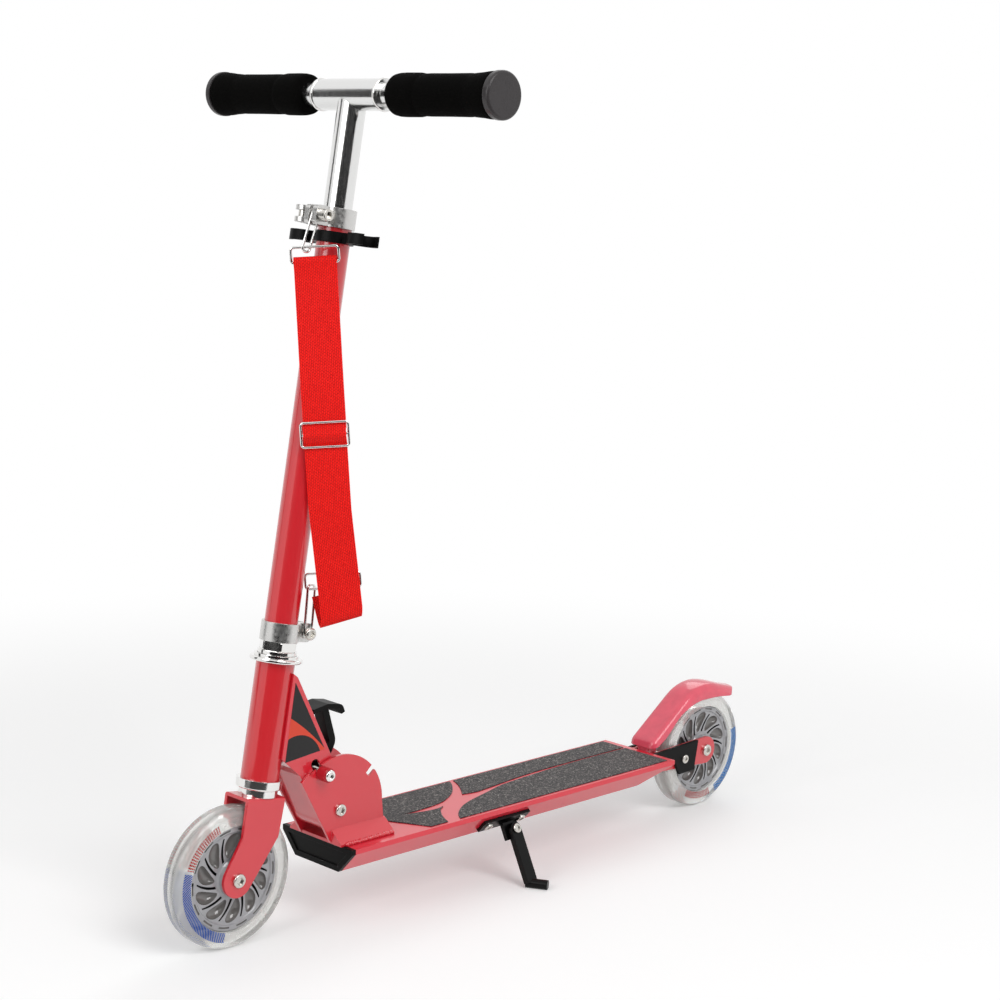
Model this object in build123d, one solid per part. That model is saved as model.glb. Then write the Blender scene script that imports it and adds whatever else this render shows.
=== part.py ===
from build123d import *
import math
import os

# Folding kick scooter. Millimetres, +X forward, +Y the rider's left, +Z up.
# The origin is on the ground, midway between the two axles.

# Fits
FIT = 0.05            # radial clearance of seated and running pieces
SLIDE_FIT = 0.1       # radial clearance of tubes that slide in each other
SIDE_PLAY = 0.1       # clearance between flat faces that pass each other
PLAY = 0.3            # clearance between pieces that must not touch

# Wheels
WHEEL_RADIUS = 60.0
WHEELBASE = 610.0
TYRE_WIDTH = 22.0
TYRE_DEPTH = 15.0
TYRE_SHOULDER = 7.0
RIM_DEPTH = 6.5
RIM_WIDTH = 17.0
WEB_THICKNESS = 4.0
SPOKE_COUNT = 10
SPOKE_THICKNESS = 3.0
SPOKE_WIDTH = 14.0
SPOKE_SWEEP = 52.0
HUB_RADIUS = 14.5
HUB_WIDTH = 24.0
BEARING_RADIUS = 11.0
BEARING_WIDTH = 7.0
SPACER_RADIUS = 6.0
AXLE_RADIUS = 4.0
AXLE_HEAD_RADIUS = 6.0
BOLT_HEAD_HEIGHT = 3.0
NUT_ACROSS = 13.0
NUT_HEIGHT = 5.0

# Deck
DECK_TOP = 72.5
DECK_HEIGHT = 23.5
DECK_WIDTH = 92.0
DECK_SIDE_RUN = 17.5      # how far each side slants in
DECK_LIP = 4.5
DECK_WALL = 2.0
DECK_REAR_GAP = 88.0      # from the rear axle to the end of the deck
DECK_NOSE_LEAD = 3.0      # from the hinge bolt to the front end of the deck
DECK_TAIL_CUT = 35.0
NOSE_CAP_FLANGE = 4.0
NOSE_CAP_PLUG = 12.0
NOSE_CAP_BORDER = 5.0
NOSE_CAP_RECESS = 1.2
TAPE_THICKNESS = 0.8
TAPE_BORDER = 3.5
TAPE_FRONT_MARGIN = 70.0
TAPE_REAR_MARGIN = 8.0
TAPE_STRIPE_WIDTH = 11.0
TAPE_BAND_WIDTH = 12.0
TAPE_BAND_MARGIN = 154.0
TAPE_BAND_BOW = 22.0

# Folding hinge
PIVOT_BACK = 83.0         # from the foot of the steering axis back to the hinge bolt
PIVOT_HEIGHT = 28.0       # above the deck top
PIVOT_RADIUS = 4.0
PIVOT_HEAD_RADIUS = 5.5
HINGE_SHEET = 2.8
HINGE_RIM_RADIUS = 48.5
HINGE_FLANGE_REACH = 13.0
HINGE_FLANGE_RISE = 12.0
HINGE_BACK = 52.0
HINGE_FRONT = 9.0
HINGE_HORN_X = 43.0       # front upper corner of a side plate, from the hinge bolt
HINGE_HORN_Z = 32.0
FOLD_ANGLE = 81.0
LOCK_RADIUS = 42.7
LOCK_ANGLE = 59.8
LOCK_TRAVEL = 9.0
LOCK_ROD_RADIUS = 4.0
LOCK_NECK_RADIUS = 2.5
LOCK_SLEEVE_RADIUS = 6.2
LOCK_SLEEVE_LENGTH = 9.5
LOCK_SCREW_SHARE = 0.7
LOCK_HEAD_RADIUS = 5.0
SCREW_RADIUS = 2.5
SCREW_HEAD_RADIUS = 4.5
SCREW_HEAD_HEIGHT = 2.0
BRACKET_SCREW_SPAN = 20.0

# Neck box between the hinge and the head tube
NECK_WIDTH = 35.0
NECK_SHEET = 2.5
NECK_END_RADIUS = 20.0
NECK_WEB_X = 42.0         # lower front corner of the box, from the hinge bolt
NECK_WEB_Z = 37.0
NECK_BACK_Z = 43.0
NECK_MOUTH_LOW = 22.0     # opening for the fold lever, above the hinge bolt
NECK_MOUTH_HIGH = 76.0
SLEEVE_RADIUS = 6.5

# Steering column, measured along its axis from the height of the axle
RAKE = 8.6
AXLE_LEAD = 21.0
FORK_SHEET = 3.0
CROWN_GAP = 5.0
CROWN_FRONT = 22.0
CROWN_REAR = -18.0
LEG_WAIST_DROP = 33.0
LEG_END_RADIUS = 15.0
FORK_BEND = 2.5
STEERER_RADIUS = 12.0
STEERER_WALL = 2.5
STEERER_ABOVE_HEAD = 67.0
HEAD_RADIUS = 16.3
HEAD_WALL = 2.3
HEAD_LENGTH = 99.0
BALL_RADIUS = 2.0
BALL_COUNT = 14
BALL_PITCH_RADIUS = 14.5
RACE_HEIGHT = 5.8
RACE_RADIUS = 16.4
CUP_RADIUS = 19.5
CUP_HEIGHT = 8.0
CUP_WALL = 2.0
SPIGOT_LENGTH = 8.0
UPPER_FLANGE_RADIUS = 22.4
UPPER_FLANGE_HEIGHT = 3.5
CONE_HEIGHT = 3.0
HEADSET_NUT_ACROSS = 28.0
HEADSET_NUT_HEIGHT = 8.0
CLAMP_WALL = 2.2
CLAMP_HEIGHT = 16.0
EAR_LENGTH = 13.0
EAR_THICKNESS = 5.5
EAR_GAP = 4.0
CLAMP_BOLT_RADIUS = 2.5
CLAMP_HEAD_RADIUS = 5.3
CLAMP_HEAD_LENGTH = 3.5
TUBE_RADIUS = 14.0
TUBE_LENGTH = 350.0
CLAMP_ABOVE_TUBE = 9.0
RELEASE_NUT_LENGTH = 9.0
RELEASE_EYE_RADIUS = 4.5
RELEASE_PIN_RADIUS = 2.0
RELEASE_PIN_Y = -15.0
RELEASE_CHEEK = 4.0
RELEASE_LEVER_LENGTH = 40.0
RELEASE_LEVER_SPLAY = 15.0
RELEASE_LEVER_SHEET = 3.0
CLIP_DROP = 10.0
CLIP_HEIGHT = 9.0
CLIP_WALL = 2.8
CLIP_REACH = 36.0

# Handlebar
T_TUBE_RADIUS = 12.0
T_TUBE_WALL = 2.0
T_TUBE_LENGTH = 300.0
T_HEIGHT = 648.0
T_SLEEVE_RADIUS = 13.0
T_SLEEVE_HALF = 40.0
ARM_RADIUS = 10.0
ARM_WALL = 1.8
ARM_INNER_END = 10.0
GRIP_RADIUS = 17.2
GRIP_FLANGE_RADIUS = 18.4
GRIP_FLANGE_LENGTH = 9.0
GRIP_START = 54.0
GRIP_GROOVE_DEPTH = 1.6
GRIP_GROOVE_WIDTH = 3.0
HANDLE_HALF = 174.0
CAP_RADIUS = 19.0
CAP_THICKNESS = 6.0
CAP_PLUG_LENGTH = 20.0
BUTTON_RADIUS = 3.5
BUTTON_Y = 30.0
BUTTON_PROUD = 1.2
BUTTON_FLANGE_RADIUS = 5.0
CORD_RADIUS = 1.2

# Rear end and brake
DROPOUT_SHEET = 3.0
DROPOUT_END_RADIUS = 14.0
DROPOUT_INSERT = 65.0
DROPOUT_WEB_LENGTH = 30.0
DROPOUT_SCREW_INSET = 8.0
DROPOUT_SCREW_PITCH = 14.0
COVER_THICKNESS = 3.0
FENDER_HALF_WIDTH = 17.0
FENDER_WALL = 2.8
FENDER_TYRE_GAP = 4.8
FENDER_CROWN_ROUND = 7.0
BRAKE_PIN_RADIUS = 2.5
BRAKE_PIN_BACK = 14.0
BRAKE_PIN_DROP = 6.5
KNUCKLE_RADIUS = 6.0
KNUCKLE_HALF = 7.0
BRAKE_SPRING_RADIUS = 5.0

# Kickstand
KICK_X = 9.0
KICK_STAND_OFF = 13.3
KICK_DROP = 1.4
KICK_LEAN = 27.7
KICK_PLATE_LENGTH = 58.0
KICK_PLATE_WIDTH = 14.0
KICK_PLATE_SHIFT = 8.0
KICK_SHEET = 3.0
KICK_LEG_THICKNESS = 6.0
KICK_LEG_WIDTH = 12.0
KICK_BOLT_RADIUS = 3.0
KICK_FOOT_RADIUS = 4.5
KICK_FOOT_LENGTH = 16.0
KICK_FOOT_FLAT = 0.6

# Carrying strap
STRAP_WIDTH = 35.0
STRAP_THICKNESS = 1.6
STRAP_FOLD_RADIUS = 4.0
STRAP_TAIL = 26.0
STRAP_TOP_LEAD = 20.3    # top end: ahead of the steering axis, to the left and below the release clamp
STRAP_TOP_SIDE = 5.5
STRAP_TOP_DROP = 40.4
STRAP_END_LEAD = -42.2   # lower end: the same, but above the lower clamp
STRAP_END_SIDE = 24.7
STRAP_END_RISE = 14.1
STRAP_FACING = 44.2       # direction that the webbing faces, degrees from +X
STRAP_BOW = 17.0
STRAP_END_SHARE = 0.5
STRAP_DOUBLE = 130.0
WIRE_RADIUS = 1.1
RING_HEIGHT = 13.0
RING_MARGIN = 2.0
LOW_RING_LEAD = 7.0       # the lower ring reaches past the webbing to its hook
SLIDER_TOP = 128.0
SLIDER_HEIGHT = 20.0

# Places worked out from the sizes above
RAKE_SIN = math.sin(math.radians(RAKE))
RAKE_COS = math.cos(math.radians(RAKE))
FRONT_AXLE_X = WHEELBASE / 2
REAR_AXLE_X = -WHEELBASE / 2
AXIS_X = FRONT_AXLE_X - AXLE_LEAD
STEER = Plane((AXIS_X, 0, WHEEL_RADIUS), (RAKE_COS, 0, RAKE_SIN), (-RAKE_SIN, 0, RAKE_COS)).location
PIVOT_X = AXIS_X - PIVOT_BACK
DECK_REAR_X = REAR_AXLE_X + DECK_REAR_GAP
DECK_FRONT_X = PIVOT_X + DECK_NOSE_LEAD
TAPE_FRONT_X = DECK_FRONT_X - TAPE_FRONT_MARGIN
TAPE_BAND_X = DECK_FRONT_X - TAPE_BAND_MARGIN
AXLE_E = AXLE_LEAD * RAKE_COS
AXLE_S = -AXLE_LEAD * RAKE_SIN
FORK_INNER = HUB_WIDTH / 2 + SIDE_PLAY
FORK_OUTER = FORK_INNER + FORK_SHEET
CROWN_UNDER = AXLE_S + WHEEL_RADIUS + CROWN_GAP
CROWN_TOP = CROWN_UNDER + FORK_SHEET
RACE_TOP = CROWN_TOP + RACE_HEIGHT
CUP_BOTTOM = RACE_TOP + PLAY
BALL_CAVITY_RADIUS = BALL_PITCH_RADIUS + BALL_RADIUS + SIDE_PLAY
LOWER_BALL_S = RACE_TOP + SIDE_PLAY + BALL_RADIUS
HEAD_BOTTOM = CUP_BOTTOM + CUP_HEIGHT
HEAD_TOP = HEAD_BOTTOM + HEAD_LENGTH
UPPER_FLOOR = HEAD_TOP + UPPER_FLANGE_HEIGHT / 2
UPPER_BALL_S = UPPER_FLOOR + SIDE_PLAY + BALL_RADIUS
CONE_BOTTOM = UPPER_BALL_S + BALL_RADIUS + SIDE_PLAY
NUT_BOTTOM = CONE_BOTTOM + CONE_HEIGHT
CLAMP_BOTTOM = NUT_BOTTOM + HEADSET_NUT_HEIGHT
TUBE_BOTTOM = CLAMP_BOTTOM + SIDE_PLAY
TUBE_TOP = TUBE_BOTTOM + TUBE_LENGTH
TUBE_BORE = T_TUBE_RADIUS + SLIDE_FIT
CLAMP_RADIUS = TUBE_RADIUS + FIT + CLAMP_WALL
EAR_END = CLAMP_RADIUS + EAR_LENGTH - 1
EAR_OUTER = EAR_GAP / 2 + EAR_THICKNESS
CLAMP_BOLT_E = CLAMP_RADIUS + EAR_LENGTH / 2 - 0.5
RELEASE_TOP = TUBE_TOP + CLAMP_ABOVE_TUBE
RELEASE_BOTTOM = RELEASE_TOP - CLAMP_HEIGHT
RELEASE_S = (RELEASE_TOP + RELEASE_BOTTOM) / 2
LOWER_BOLT_S = CLAMP_BOTTOM + CLAMP_HEIGHT / 2
CLIP_TOP = RELEASE_BOTTOM - CLIP_DROP / 3
DECK_BOTTOM = DECK_TOP - DECK_HEIGHT
DECK_BASE_WIDTH = DECK_WIDTH - 2 * DECK_SIDE_RUN
PIVOT_Z = DECK_TOP + PIVOT_HEIGHT
HINGE_INNER = NECK_WIDTH / 2 + 5 * SIDE_PLAY
HINGE_OUTER = HINGE_INNER + HINGE_SHEET
LOCK_SIN = math.sin(math.radians(LOCK_ANGLE))
LOCK_COS = math.cos(math.radians(LOCK_ANGLE))
LOCK_X = PIVOT_X + LOCK_RADIUS * LOCK_COS
LOCK_Z = PIVOT_Z + LOCK_RADIUS * LOCK_SIN
DROPOUT_OUTER = FORK_INNER + DROPOUT_SHEET
BRAKE_PIN_X = DECK_REAR_X - BRAKE_PIN_BACK
BRAKE_PIN_Z = DECK_TOP - BRAKE_PIN_DROP


def rod(radius, y_from, y_to):
    """Round bar along Y."""
    return Pos(0, (y_from + y_to) / 2, 0) * Rot(90, 0, 0) * Cylinder(radius, y_to - y_from)


def ring(outer, inner, y_from, y_to):
    """Round tube along Y."""
    return rod(outer, y_from, y_to) - rod(inner, y_from, y_to)


def post(radius, s_from, s_to):
    """Round bar along the steering axis."""
    return Pos(0, 0, (s_from + s_to) / 2) * Cylinder(radius, s_to - s_from)


def collar(outer, inner, s_from, s_to):
    """Round tube along the steering axis."""
    return post(outer, s_from, s_to) - post(inner, s_from, s_to)


def block(x_range, y_range, z_range):
    """Box between three pairs of limits."""
    sizes = [high - low for low, high in (x_range, y_range, z_range)]
    middle = [(high + low) / 2 for low, high in (x_range, y_range, z_range)]
    return Pos(*middle) * Box(*sizes)


def outline(points):
    return make_face(Polyline(*points, close=True))


def side_plate(sketch, y_from, y_to):
    """Plate between two Y limits from a sketch of its side, X to the right and Z up."""
    return extrude(Plane.XZ.offset(-y_to) * sketch, y_to - y_from)


def group(shapes):
    return Compound(children=list(shapes))


def hex_prism(across, height):
    return extrude(RegularPolygon(across / 2, 6, major_radius=False), height)


def bolt(shank, head, y_tip, y_seat, head_height=BOLT_HEAD_HEIGHT):
    """Domed socket bolt along Y, its head seated at y_seat and facing +Y."""
    head_part = rod(head, y_seat, y_seat + head_height)
    head_part = fillet(head_part.edges().group_by(Axis.Y)[-1], head_height * 0.45)
    socket = Pos(0, y_seat + head_height, 0) * Rot(90, 0, 0) * hex_prism(head, head_height * 0.6)
    return rod(shank, y_tip, y_seat) + (head_part - socket)


def hex_nut(across, hole, y_from, y_to):
    """Hexagon nut along Y."""
    body = Pos(0, y_to, 0) * Rot(90, 0, 0) * hex_prism(across, y_to - y_from)
    return body - rod(hole, y_from, y_to)


def wire(points, radius, corner):
    """Closed wire loop through points, with rounded corners."""
    path = FilletPolyline(*points, radius=corner, close=True)
    section = Plane(origin=path @ 0.5, z_dir=path % 0.5) * Circle(radius)
    return sweep(section, path=path)


def steer_xz(forward, along):
    """X and Z of a point given in the steering column's own axes."""
    x = AXIS_X + forward * RAKE_COS - along * RAKE_SIN
    z = WHEEL_RADIUS + forward * RAKE_SIN + along * RAKE_COS
    return x, z


def tyre():
    section = Pos(WHEEL_RADIUS - TYRE_DEPTH / 2, 0) * Rectangle(TYRE_DEPTH, TYRE_WIDTH)
    section = fillet(section.vertices().sort_by(Axis.X)[-2:], TYRE_SHOULDER)
    return revolve(section, Axis.Y)


def wheel_core():
    rim_outer = WHEEL_RADIUS - TYRE_DEPTH - FIT
    rim_inner = rim_outer - RIM_DEPTH
    hub = rod(HUB_RADIUS, -HUB_WIDTH / 2, HUB_WIDTH / 2)
    rim = ring(rim_outer, rim_inner, -RIM_WIDTH / 2, RIM_WIDTH / 2)
    web = rod(rim_outer - RIM_DEPTH / 2, -WEB_THICKNESS / 2, WEB_THICKNESS / 2)
    root = HUB_RADIUS - SPOKE_THICKNESS / 2
    tip = rim_inner + SPOKE_THICKNESS / 2
    arc = ThreePointArc(
        Vector(root, 0, 0),
        Vector((root + tip) / 2, 0, 0).rotate(Axis.Z, SPOKE_SWEEP * 0.3),
        Vector(tip, 0, 0).rotate(Axis.Z, SPOKE_SWEEP),
    )
    spoke = Rot(90, 0, 0) * extrude(trace(arc, SPOKE_THICKNESS), SPOKE_WIDTH / 2, both=True)
    core = hub + rim + web
    for number in range(SPOKE_COUNT):
        core += Rot(0, 360 * number / SPOKE_COUNT, 0) * spoke
    core -= rod(SPACER_RADIUS + FIT, -HUB_WIDTH / 2, HUB_WIDTH / 2)
    pocket = HUB_WIDTH / 2 - BEARING_WIDTH
    core -= rod(BEARING_RADIUS, pocket, HUB_WIDTH / 2)
    core -= rod(BEARING_RADIUS, -HUB_WIDTH / 2, -pocket)
    return core


def wheel_bearings():
    pocket = HUB_WIDTH / 2 - BEARING_WIDTH
    bore = AXLE_RADIUS + FIT
    return group([
        ring(BEARING_RADIUS - FIT, bore, pocket, HUB_WIDTH / 2),
        ring(BEARING_RADIUS - FIT, bore, -HUB_WIDTH / 2, -pocket),
        ring(SPACER_RADIUS, bore, FIT - pocket, pocket - FIT),
    ])


def axle(outer):
    """Axle bolt and nut that clamp two plates whose outer faces are at outer."""
    tip = outer + NUT_HEIGHT + 1
    return group([
        bolt(AXLE_RADIUS, AXLE_HEAD_RADIUS, -tip, outer),
        hex_nut(NUT_ACROSS, AXLE_RADIUS + FIT, -outer - NUT_HEIGHT, -outer),
    ])


def deck_section(inset=0.0):
    """Tapered section of the deck, in Y and Z, drawn in by inset."""
    half = DECK_WIDTH / 2
    base = DECK_BASE_WIDTH / 2
    lip = DECK_TOP - DECK_LIP
    face = outline([
        (-half, DECK_TOP), (half, DECK_TOP), (half, lip), (base, DECK_BOTTOM), (-base, DECK_BOTTOM), (-half, lip),
    ])
    return offset(face, -inset, kind=Kind.INTERSECTION) if inset else face


def deck_bar(x_from, x_to, inset=0.0):
    return extrude(Plane.YZ.offset(x_from) * deck_section(inset), x_to - x_from)


def deck_extrusion():
    bar = deck_bar(DECK_REAR_X, DECK_FRONT_X) - deck_bar(DECK_REAR_X, DECK_FRONT_X, DECK_WALL)
    lip = DECK_TOP - DECK_LIP
    toe = DECK_REAR_X + DECK_TAIL_CUT
    far = DECK_REAR_X - DECK_TAIL_CUT
    low = DECK_BOTTOM - DECK_WALL
    slant = outline([(DECK_REAR_X, lip), (toe, DECK_BOTTOM), (toe, low), (far, low), (far, lip)])
    bar -= side_plate(slant, -DECK_WIDTH, DECK_WIDTH)
    for x, y in bracket_screw_places() + dropout_screw_places():
        bar -= Pos(x, y, (DECK_TOP + DECK_BOTTOM) / 2) * Cylinder(SCREW_RADIUS + FIT, 2 * DECK_HEIGHT)
    return bar


def nose_cap():
    end = DECK_FRONT_X + NOSE_CAP_FLANGE
    cap = deck_bar(DECK_FRONT_X, end) + deck_bar(DECK_FRONT_X - NOSE_CAP_PLUG, end, DECK_WALL + SIDE_PLAY)
    cap -= deck_bar(end - NOSE_CAP_RECESS, end + 1, NOSE_CAP_BORDER)
    return cap


def grip_tape():
    """Tape pieces, parted by a tapering stripe and a bowed cross band."""
    half = DECK_WIDTH / 2 - TAPE_BORDER
    rear = DECK_REAR_X + TAPE_REAR_MARGIN
    sheet = outline([
        (rear, -half), (TAPE_FRONT_X, -half), (TAPE_FRONT_X, half * 0.1), (TAPE_FRONT_X - half * 0.5, half),
        (rear, half),
    ])
    stripe = outline([
        (TAPE_FRONT_X - 2 * TAPE_STRIPE_WIDTH, -half * 0.1), (TAPE_BAND_X, TAPE_STRIPE_WIDTH / 2),
        (rear - 1, -half * 0.35), (rear - 1, -half * 0.35 - 2), (TAPE_BAND_X, -TAPE_STRIPE_WIDTH / 2),
    ])
    band = trace(
        ThreePointArc(
            (TAPE_BAND_X + TAPE_BAND_BOW, -half - TAPE_BAND_WIDTH),
            (TAPE_BAND_X, 0),
            (TAPE_BAND_X + TAPE_BAND_BOW, half + TAPE_BAND_WIDTH),
        ),
        TAPE_BAND_WIDTH,
    )
    pieces = extrude(Plane.XY.offset(DECK_TOP) * (sheet - stripe - band), TAPE_THICKNESS)
    return group(pieces.solids())


def bracket_screw_places():
    half = BRACKET_SCREW_SPAN / 2
    return [(PIVOT_X - share * HINGE_BACK, y) for share in (0.72, 0.28) for y in (-half, half)]


def dropout_screw_places():
    first = DECK_REAR_X + DROPOUT_INSERT - DROPOUT_SCREW_INSET
    return [(first, 0), (first - DROPOUT_SCREW_PITCH, 0)]


def deck_screws():
    """Countersunk screws of the hinge bracket and pan screws of the dropouts."""
    screws = []
    seat = DECK_TOP + HINGE_SHEET
    for x, y in bracket_screw_places():
        head = Pos(0, 0, seat - SCREW_HEAD_HEIGHT / 2) * Cylinder(SCREW_HEAD_RADIUS, SCREW_HEAD_HEIGHT)
        length = HINGE_SHEET + 3 * DECK_WALL
        screws.append(Pos(x, y, 0) * (head + Pos(0, 0, seat - length / 2) * Cylinder(SCREW_RADIUS, length)))
    for x, y in dropout_screw_places():
        head = Pos(0, 0, DECK_BOTTOM - SCREW_HEAD_HEIGHT / 2) * Cylinder(SCREW_HEAD_RADIUS, SCREW_HEAD_HEIGHT)
        length = DECK_WALL + DROPOUT_SHEET + SIDE_PLAY
        screws.append(Pos(x, y, 0) * (head + Pos(0, 0, DECK_BOTTOM + length / 2) * Cylinder(SCREW_RADIUS, length)))
    return group(screws)


def hinge_bracket():
    """Folded sheet bracket; its rim is cut back where the lock rod travels from stop to stop."""
    base = DECK_TOP - PIVOT_Z
    rise = base + HINGE_FLANGE_RISE
    reach = 3 * HINGE_RIM_RADIUS
    rim = Circle(HINGE_RIM_RADIUS) - Pos(0, base - HINGE_RIM_RADIUS) * Rectangle(2 * reach, 2 * HINGE_RIM_RADIUS)
    rim -= outline([(HINGE_FRONT, base), (HINGE_HORN_X, HINGE_HORN_Z), (reach, HINGE_HORN_Z), (reach, base)])
    side = rim + outline([
        (-HINGE_BACK, base), (HINGE_FRONT, base), (HINGE_HORN_X, HINGE_HORN_Z),
        (HINGE_HORN_X * 0.8, HINGE_HORN_Z * 1.2), (0, 0), (-HINGE_RIM_RADIUS, 0),
    ])
    floor = LOCK_RADIUS - LOCK_NECK_RADIUS - PLAY
    stops = [LOCK_ANGLE, LOCK_ANGLE + FOLD_ANGLE]
    wedge = outline([(0, 0)] + [
        (reach * math.cos(math.radians(angle)), reach * math.sin(math.radians(angle)))
        for angle in (stops[0], sum(stops) / 2, stops[1])
    ])
    path = wedge - Circle(floor)
    for angle in stops:
        end = Rot(0, 0, angle) * Pos(LOCK_RADIUS + reach / 2, 0) * Rectangle(reach, 2 * (LOCK_NECK_RADIUS + PLAY))
        path += end + Rot(0, 0, angle) * Pos(LOCK_RADIUS, 0) * Circle(LOCK_NECK_RADIUS + PLAY)
    side -= path
    side -= Circle(PIVOT_RADIUS + FIT)
    plate = side_plate(side, HINGE_INNER, HINGE_OUTER)
    toe = HINGE_OUTER + HINGE_FLANGE_REACH
    foot = outline([(HINGE_INNER, base), (toe, base), (toe, base + 2), (HINGE_OUTER, rise), (HINGE_INNER, rise)])
    flange = extrude(Plane.YZ.offset(-HINGE_BACK) * foot, HINGE_BACK + HINGE_FRONT)
    floor_plate = block((-HINGE_BACK, HINGE_FRONT), (-HINGE_INNER - 1, HINGE_INNER + 1), (base, base + HINGE_SHEET))
    half = plate + flange
    bracket = Pos(PIVOT_X, 0, PIVOT_Z) * (half + mirror(half, Plane.XZ) + floor_plate)
    for x, y in bracket_screw_places():
        seat = DECK_TOP + HINGE_SHEET
        bracket -= Pos(x, y, seat) * Cylinder(SCREW_RADIUS + FIT, 4 * HINGE_SHEET)
        bracket -= Pos(x, y, seat) * Cylinder(SCREW_HEAD_RADIUS + FIT, 2 * SCREW_HEAD_HEIGHT)
    return bracket


def pivot_bolt():
    tip = HINGE_OUTER + NUT_HEIGHT + 1
    bar = bolt(PIVOT_RADIUS, PIVOT_HEAD_RADIUS, -tip, HINGE_OUTER)
    nut = hex_nut(NUT_ACROSS, PIVOT_RADIUS + FIT, -HINGE_OUTER - NUT_HEIGHT, -HINGE_OUTER)
    return Pos(PIVOT_X, 0, PIVOT_Z) * group([bar, nut])


def head_tube():
    return STEER * collar(HEAD_RADIUS, HEAD_RADIUS - HEAD_WALL, HEAD_BOTTOM, HEAD_TOP)


def neck_box():
    """Sheet box from the head tube down to the hinge bolt, open at the back for the fold lever."""
    top = steer_xz(-HEAD_RADIUS * 0.38, HEAD_TOP - HEAD_LENGTH * 0.08)
    low = steer_xz(-HEAD_RADIUS * 0.38, HEAD_BOTTOM + HEAD_LENGTH * 0.19)
    wide = NECK_END_RADIUS
    points = [
        top, low, (PIVOT_X + NECK_WEB_X, PIVOT_Z + NECK_WEB_Z), (PIVOT_X + wide * 0.82, PIVOT_Z - wide * 0.55),
        (PIVOT_X - wide * 0.9, PIVOT_Z + wide * 0.4), (PIVOT_X + wide / 4, PIVOT_Z + NECK_BACK_Z),
        steer_xz(-HEAD_RADIUS * 0.7, HEAD_TOP - HEAD_LENGTH * 0.11),
    ]
    side = outline(points) + Pos(PIVOT_X, PIVOT_Z) * Circle(NECK_END_RADIUS)
    inside = offset(outline(points), -NECK_SHEET, kind=Kind.INTERSECTION)
    inside += Pos(PIVOT_X, PIVOT_Z) * Circle(NECK_END_RADIUS - NECK_SHEET)
    half = NECK_WIDTH / 2
    box = side_plate(side, -half, half) - side_plate(inside, NECK_SHEET - half, half - NECK_SHEET)
    mouth = outline([
        (PIVOT_X - 3 * wide, PIVOT_Z + NECK_MOUTH_LOW), (PIVOT_X + wide * 0.4, PIVOT_Z + NECK_MOUTH_LOW),
        (PIVOT_X + wide * 1.6, PIVOT_Z + NECK_MOUTH_HIGH), (PIVOT_X - 3 * wide, PIVOT_Z + NECK_MOUTH_HIGH),
    ])
    box -= side_plate(mouth, NECK_SHEET - half, half - NECK_SHEET)
    box -= STEER * post(HEAD_RADIUS + FIT, HEAD_BOTTOM - CUP_HEIGHT, HEAD_TOP + CUP_HEIGHT)
    box -= Pos(PIVOT_X, 0, PIVOT_Z) * rod(PIVOT_RADIUS + FIT, -half, half)
    end_x = LOCK_X + LOCK_TRAVEL * LOCK_COS
    end_z = LOCK_Z + LOCK_TRAVEL * LOCK_SIN
    slot = LOCK_ROD_RADIUS + PLAY
    middle = Pos((LOCK_X + end_x) / 2, 0, (LOCK_Z + end_z) / 2) * Rot(0, -LOCK_ANGLE, 0)
    box -= middle * Box(LOCK_TRAVEL, NECK_WIDTH, 2 * slot)
    for x, z in ((LOCK_X, LOCK_Z), (end_x, end_z)):
        box -= Pos(x, 0, z) * rod(slot, -half, half)
    return box


def pivot_sleeve():
    reach = NECK_WIDTH / 2 - NECK_SHEET - FIT
    return Pos(PIVOT_X, 0, PIVOT_Z) * ring(SLEEVE_RADIUS, PIVOT_RADIUS + FIT, -reach, reach)


def headset_lower_cup():
    bore = STEERER_RADIUS + 2 * PLAY
    ceiling = LOWER_BALL_S + BALL_RADIUS + SIDE_PLAY
    cup = post(CUP_RADIUS, CUP_BOTTOM, HEAD_BOTTOM)
    cup = fillet(cup.edges().group_by(Axis.Z)[0], 1.5)
    cup += post(HEAD_RADIUS - HEAD_WALL - FIT, HEAD_BOTTOM, HEAD_BOTTOM + SPIGOT_LENGTH)
    cup -= post(bore, CUP_BOTTOM, HEAD_BOTTOM + SPIGOT_LENGTH)
    cup -= post(BALL_CAVITY_RADIUS, CUP_BOTTOM, ceiling)
    return STEER * cup


def headset_upper_cup():
    bore = STEERER_RADIUS + 2 * PLAY
    rim = BALL_CAVITY_RADIUS + CUP_WALL
    flange = post(UPPER_FLANGE_RADIUS, HEAD_TOP, HEAD_TOP + UPPER_FLANGE_HEIGHT)
    flange = fillet(flange.edges(), UPPER_FLANGE_HEIGHT * 0.4)
    cup = flange + post(rim, HEAD_TOP, CONE_BOTTOM)
    cup += post(HEAD_RADIUS - HEAD_WALL - FIT, HEAD_TOP - SPIGOT_LENGTH, HEAD_TOP)
    cup -= post(bore, HEAD_TOP - SPIGOT_LENGTH, CONE_BOTTOM)
    cup -= post(BALL_CAVITY_RADIUS, UPPER_FLOOR, CONE_BOTTOM)
    return STEER * cup


def headset_balls():
    balls = []
    for along in (LOWER_BALL_S, UPPER_BALL_S):
        for number in range(BALL_COUNT):
            turn = Rot(0, 0, 360 * number / BALL_COUNT)
            balls.append(STEER * turn * Pos(BALL_PITCH_RADIUS, 0, along) * Sphere(BALL_RADIUS))
    return group(balls)


def headset_races():
    bore = STEERER_RADIUS + FIT
    return STEER * group([
        collar(RACE_RADIUS, bore, CROWN_TOP, RACE_TOP),
        collar(RACE_RADIUS, bore, CONE_BOTTOM, NUT_BOTTOM),
    ])


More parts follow.
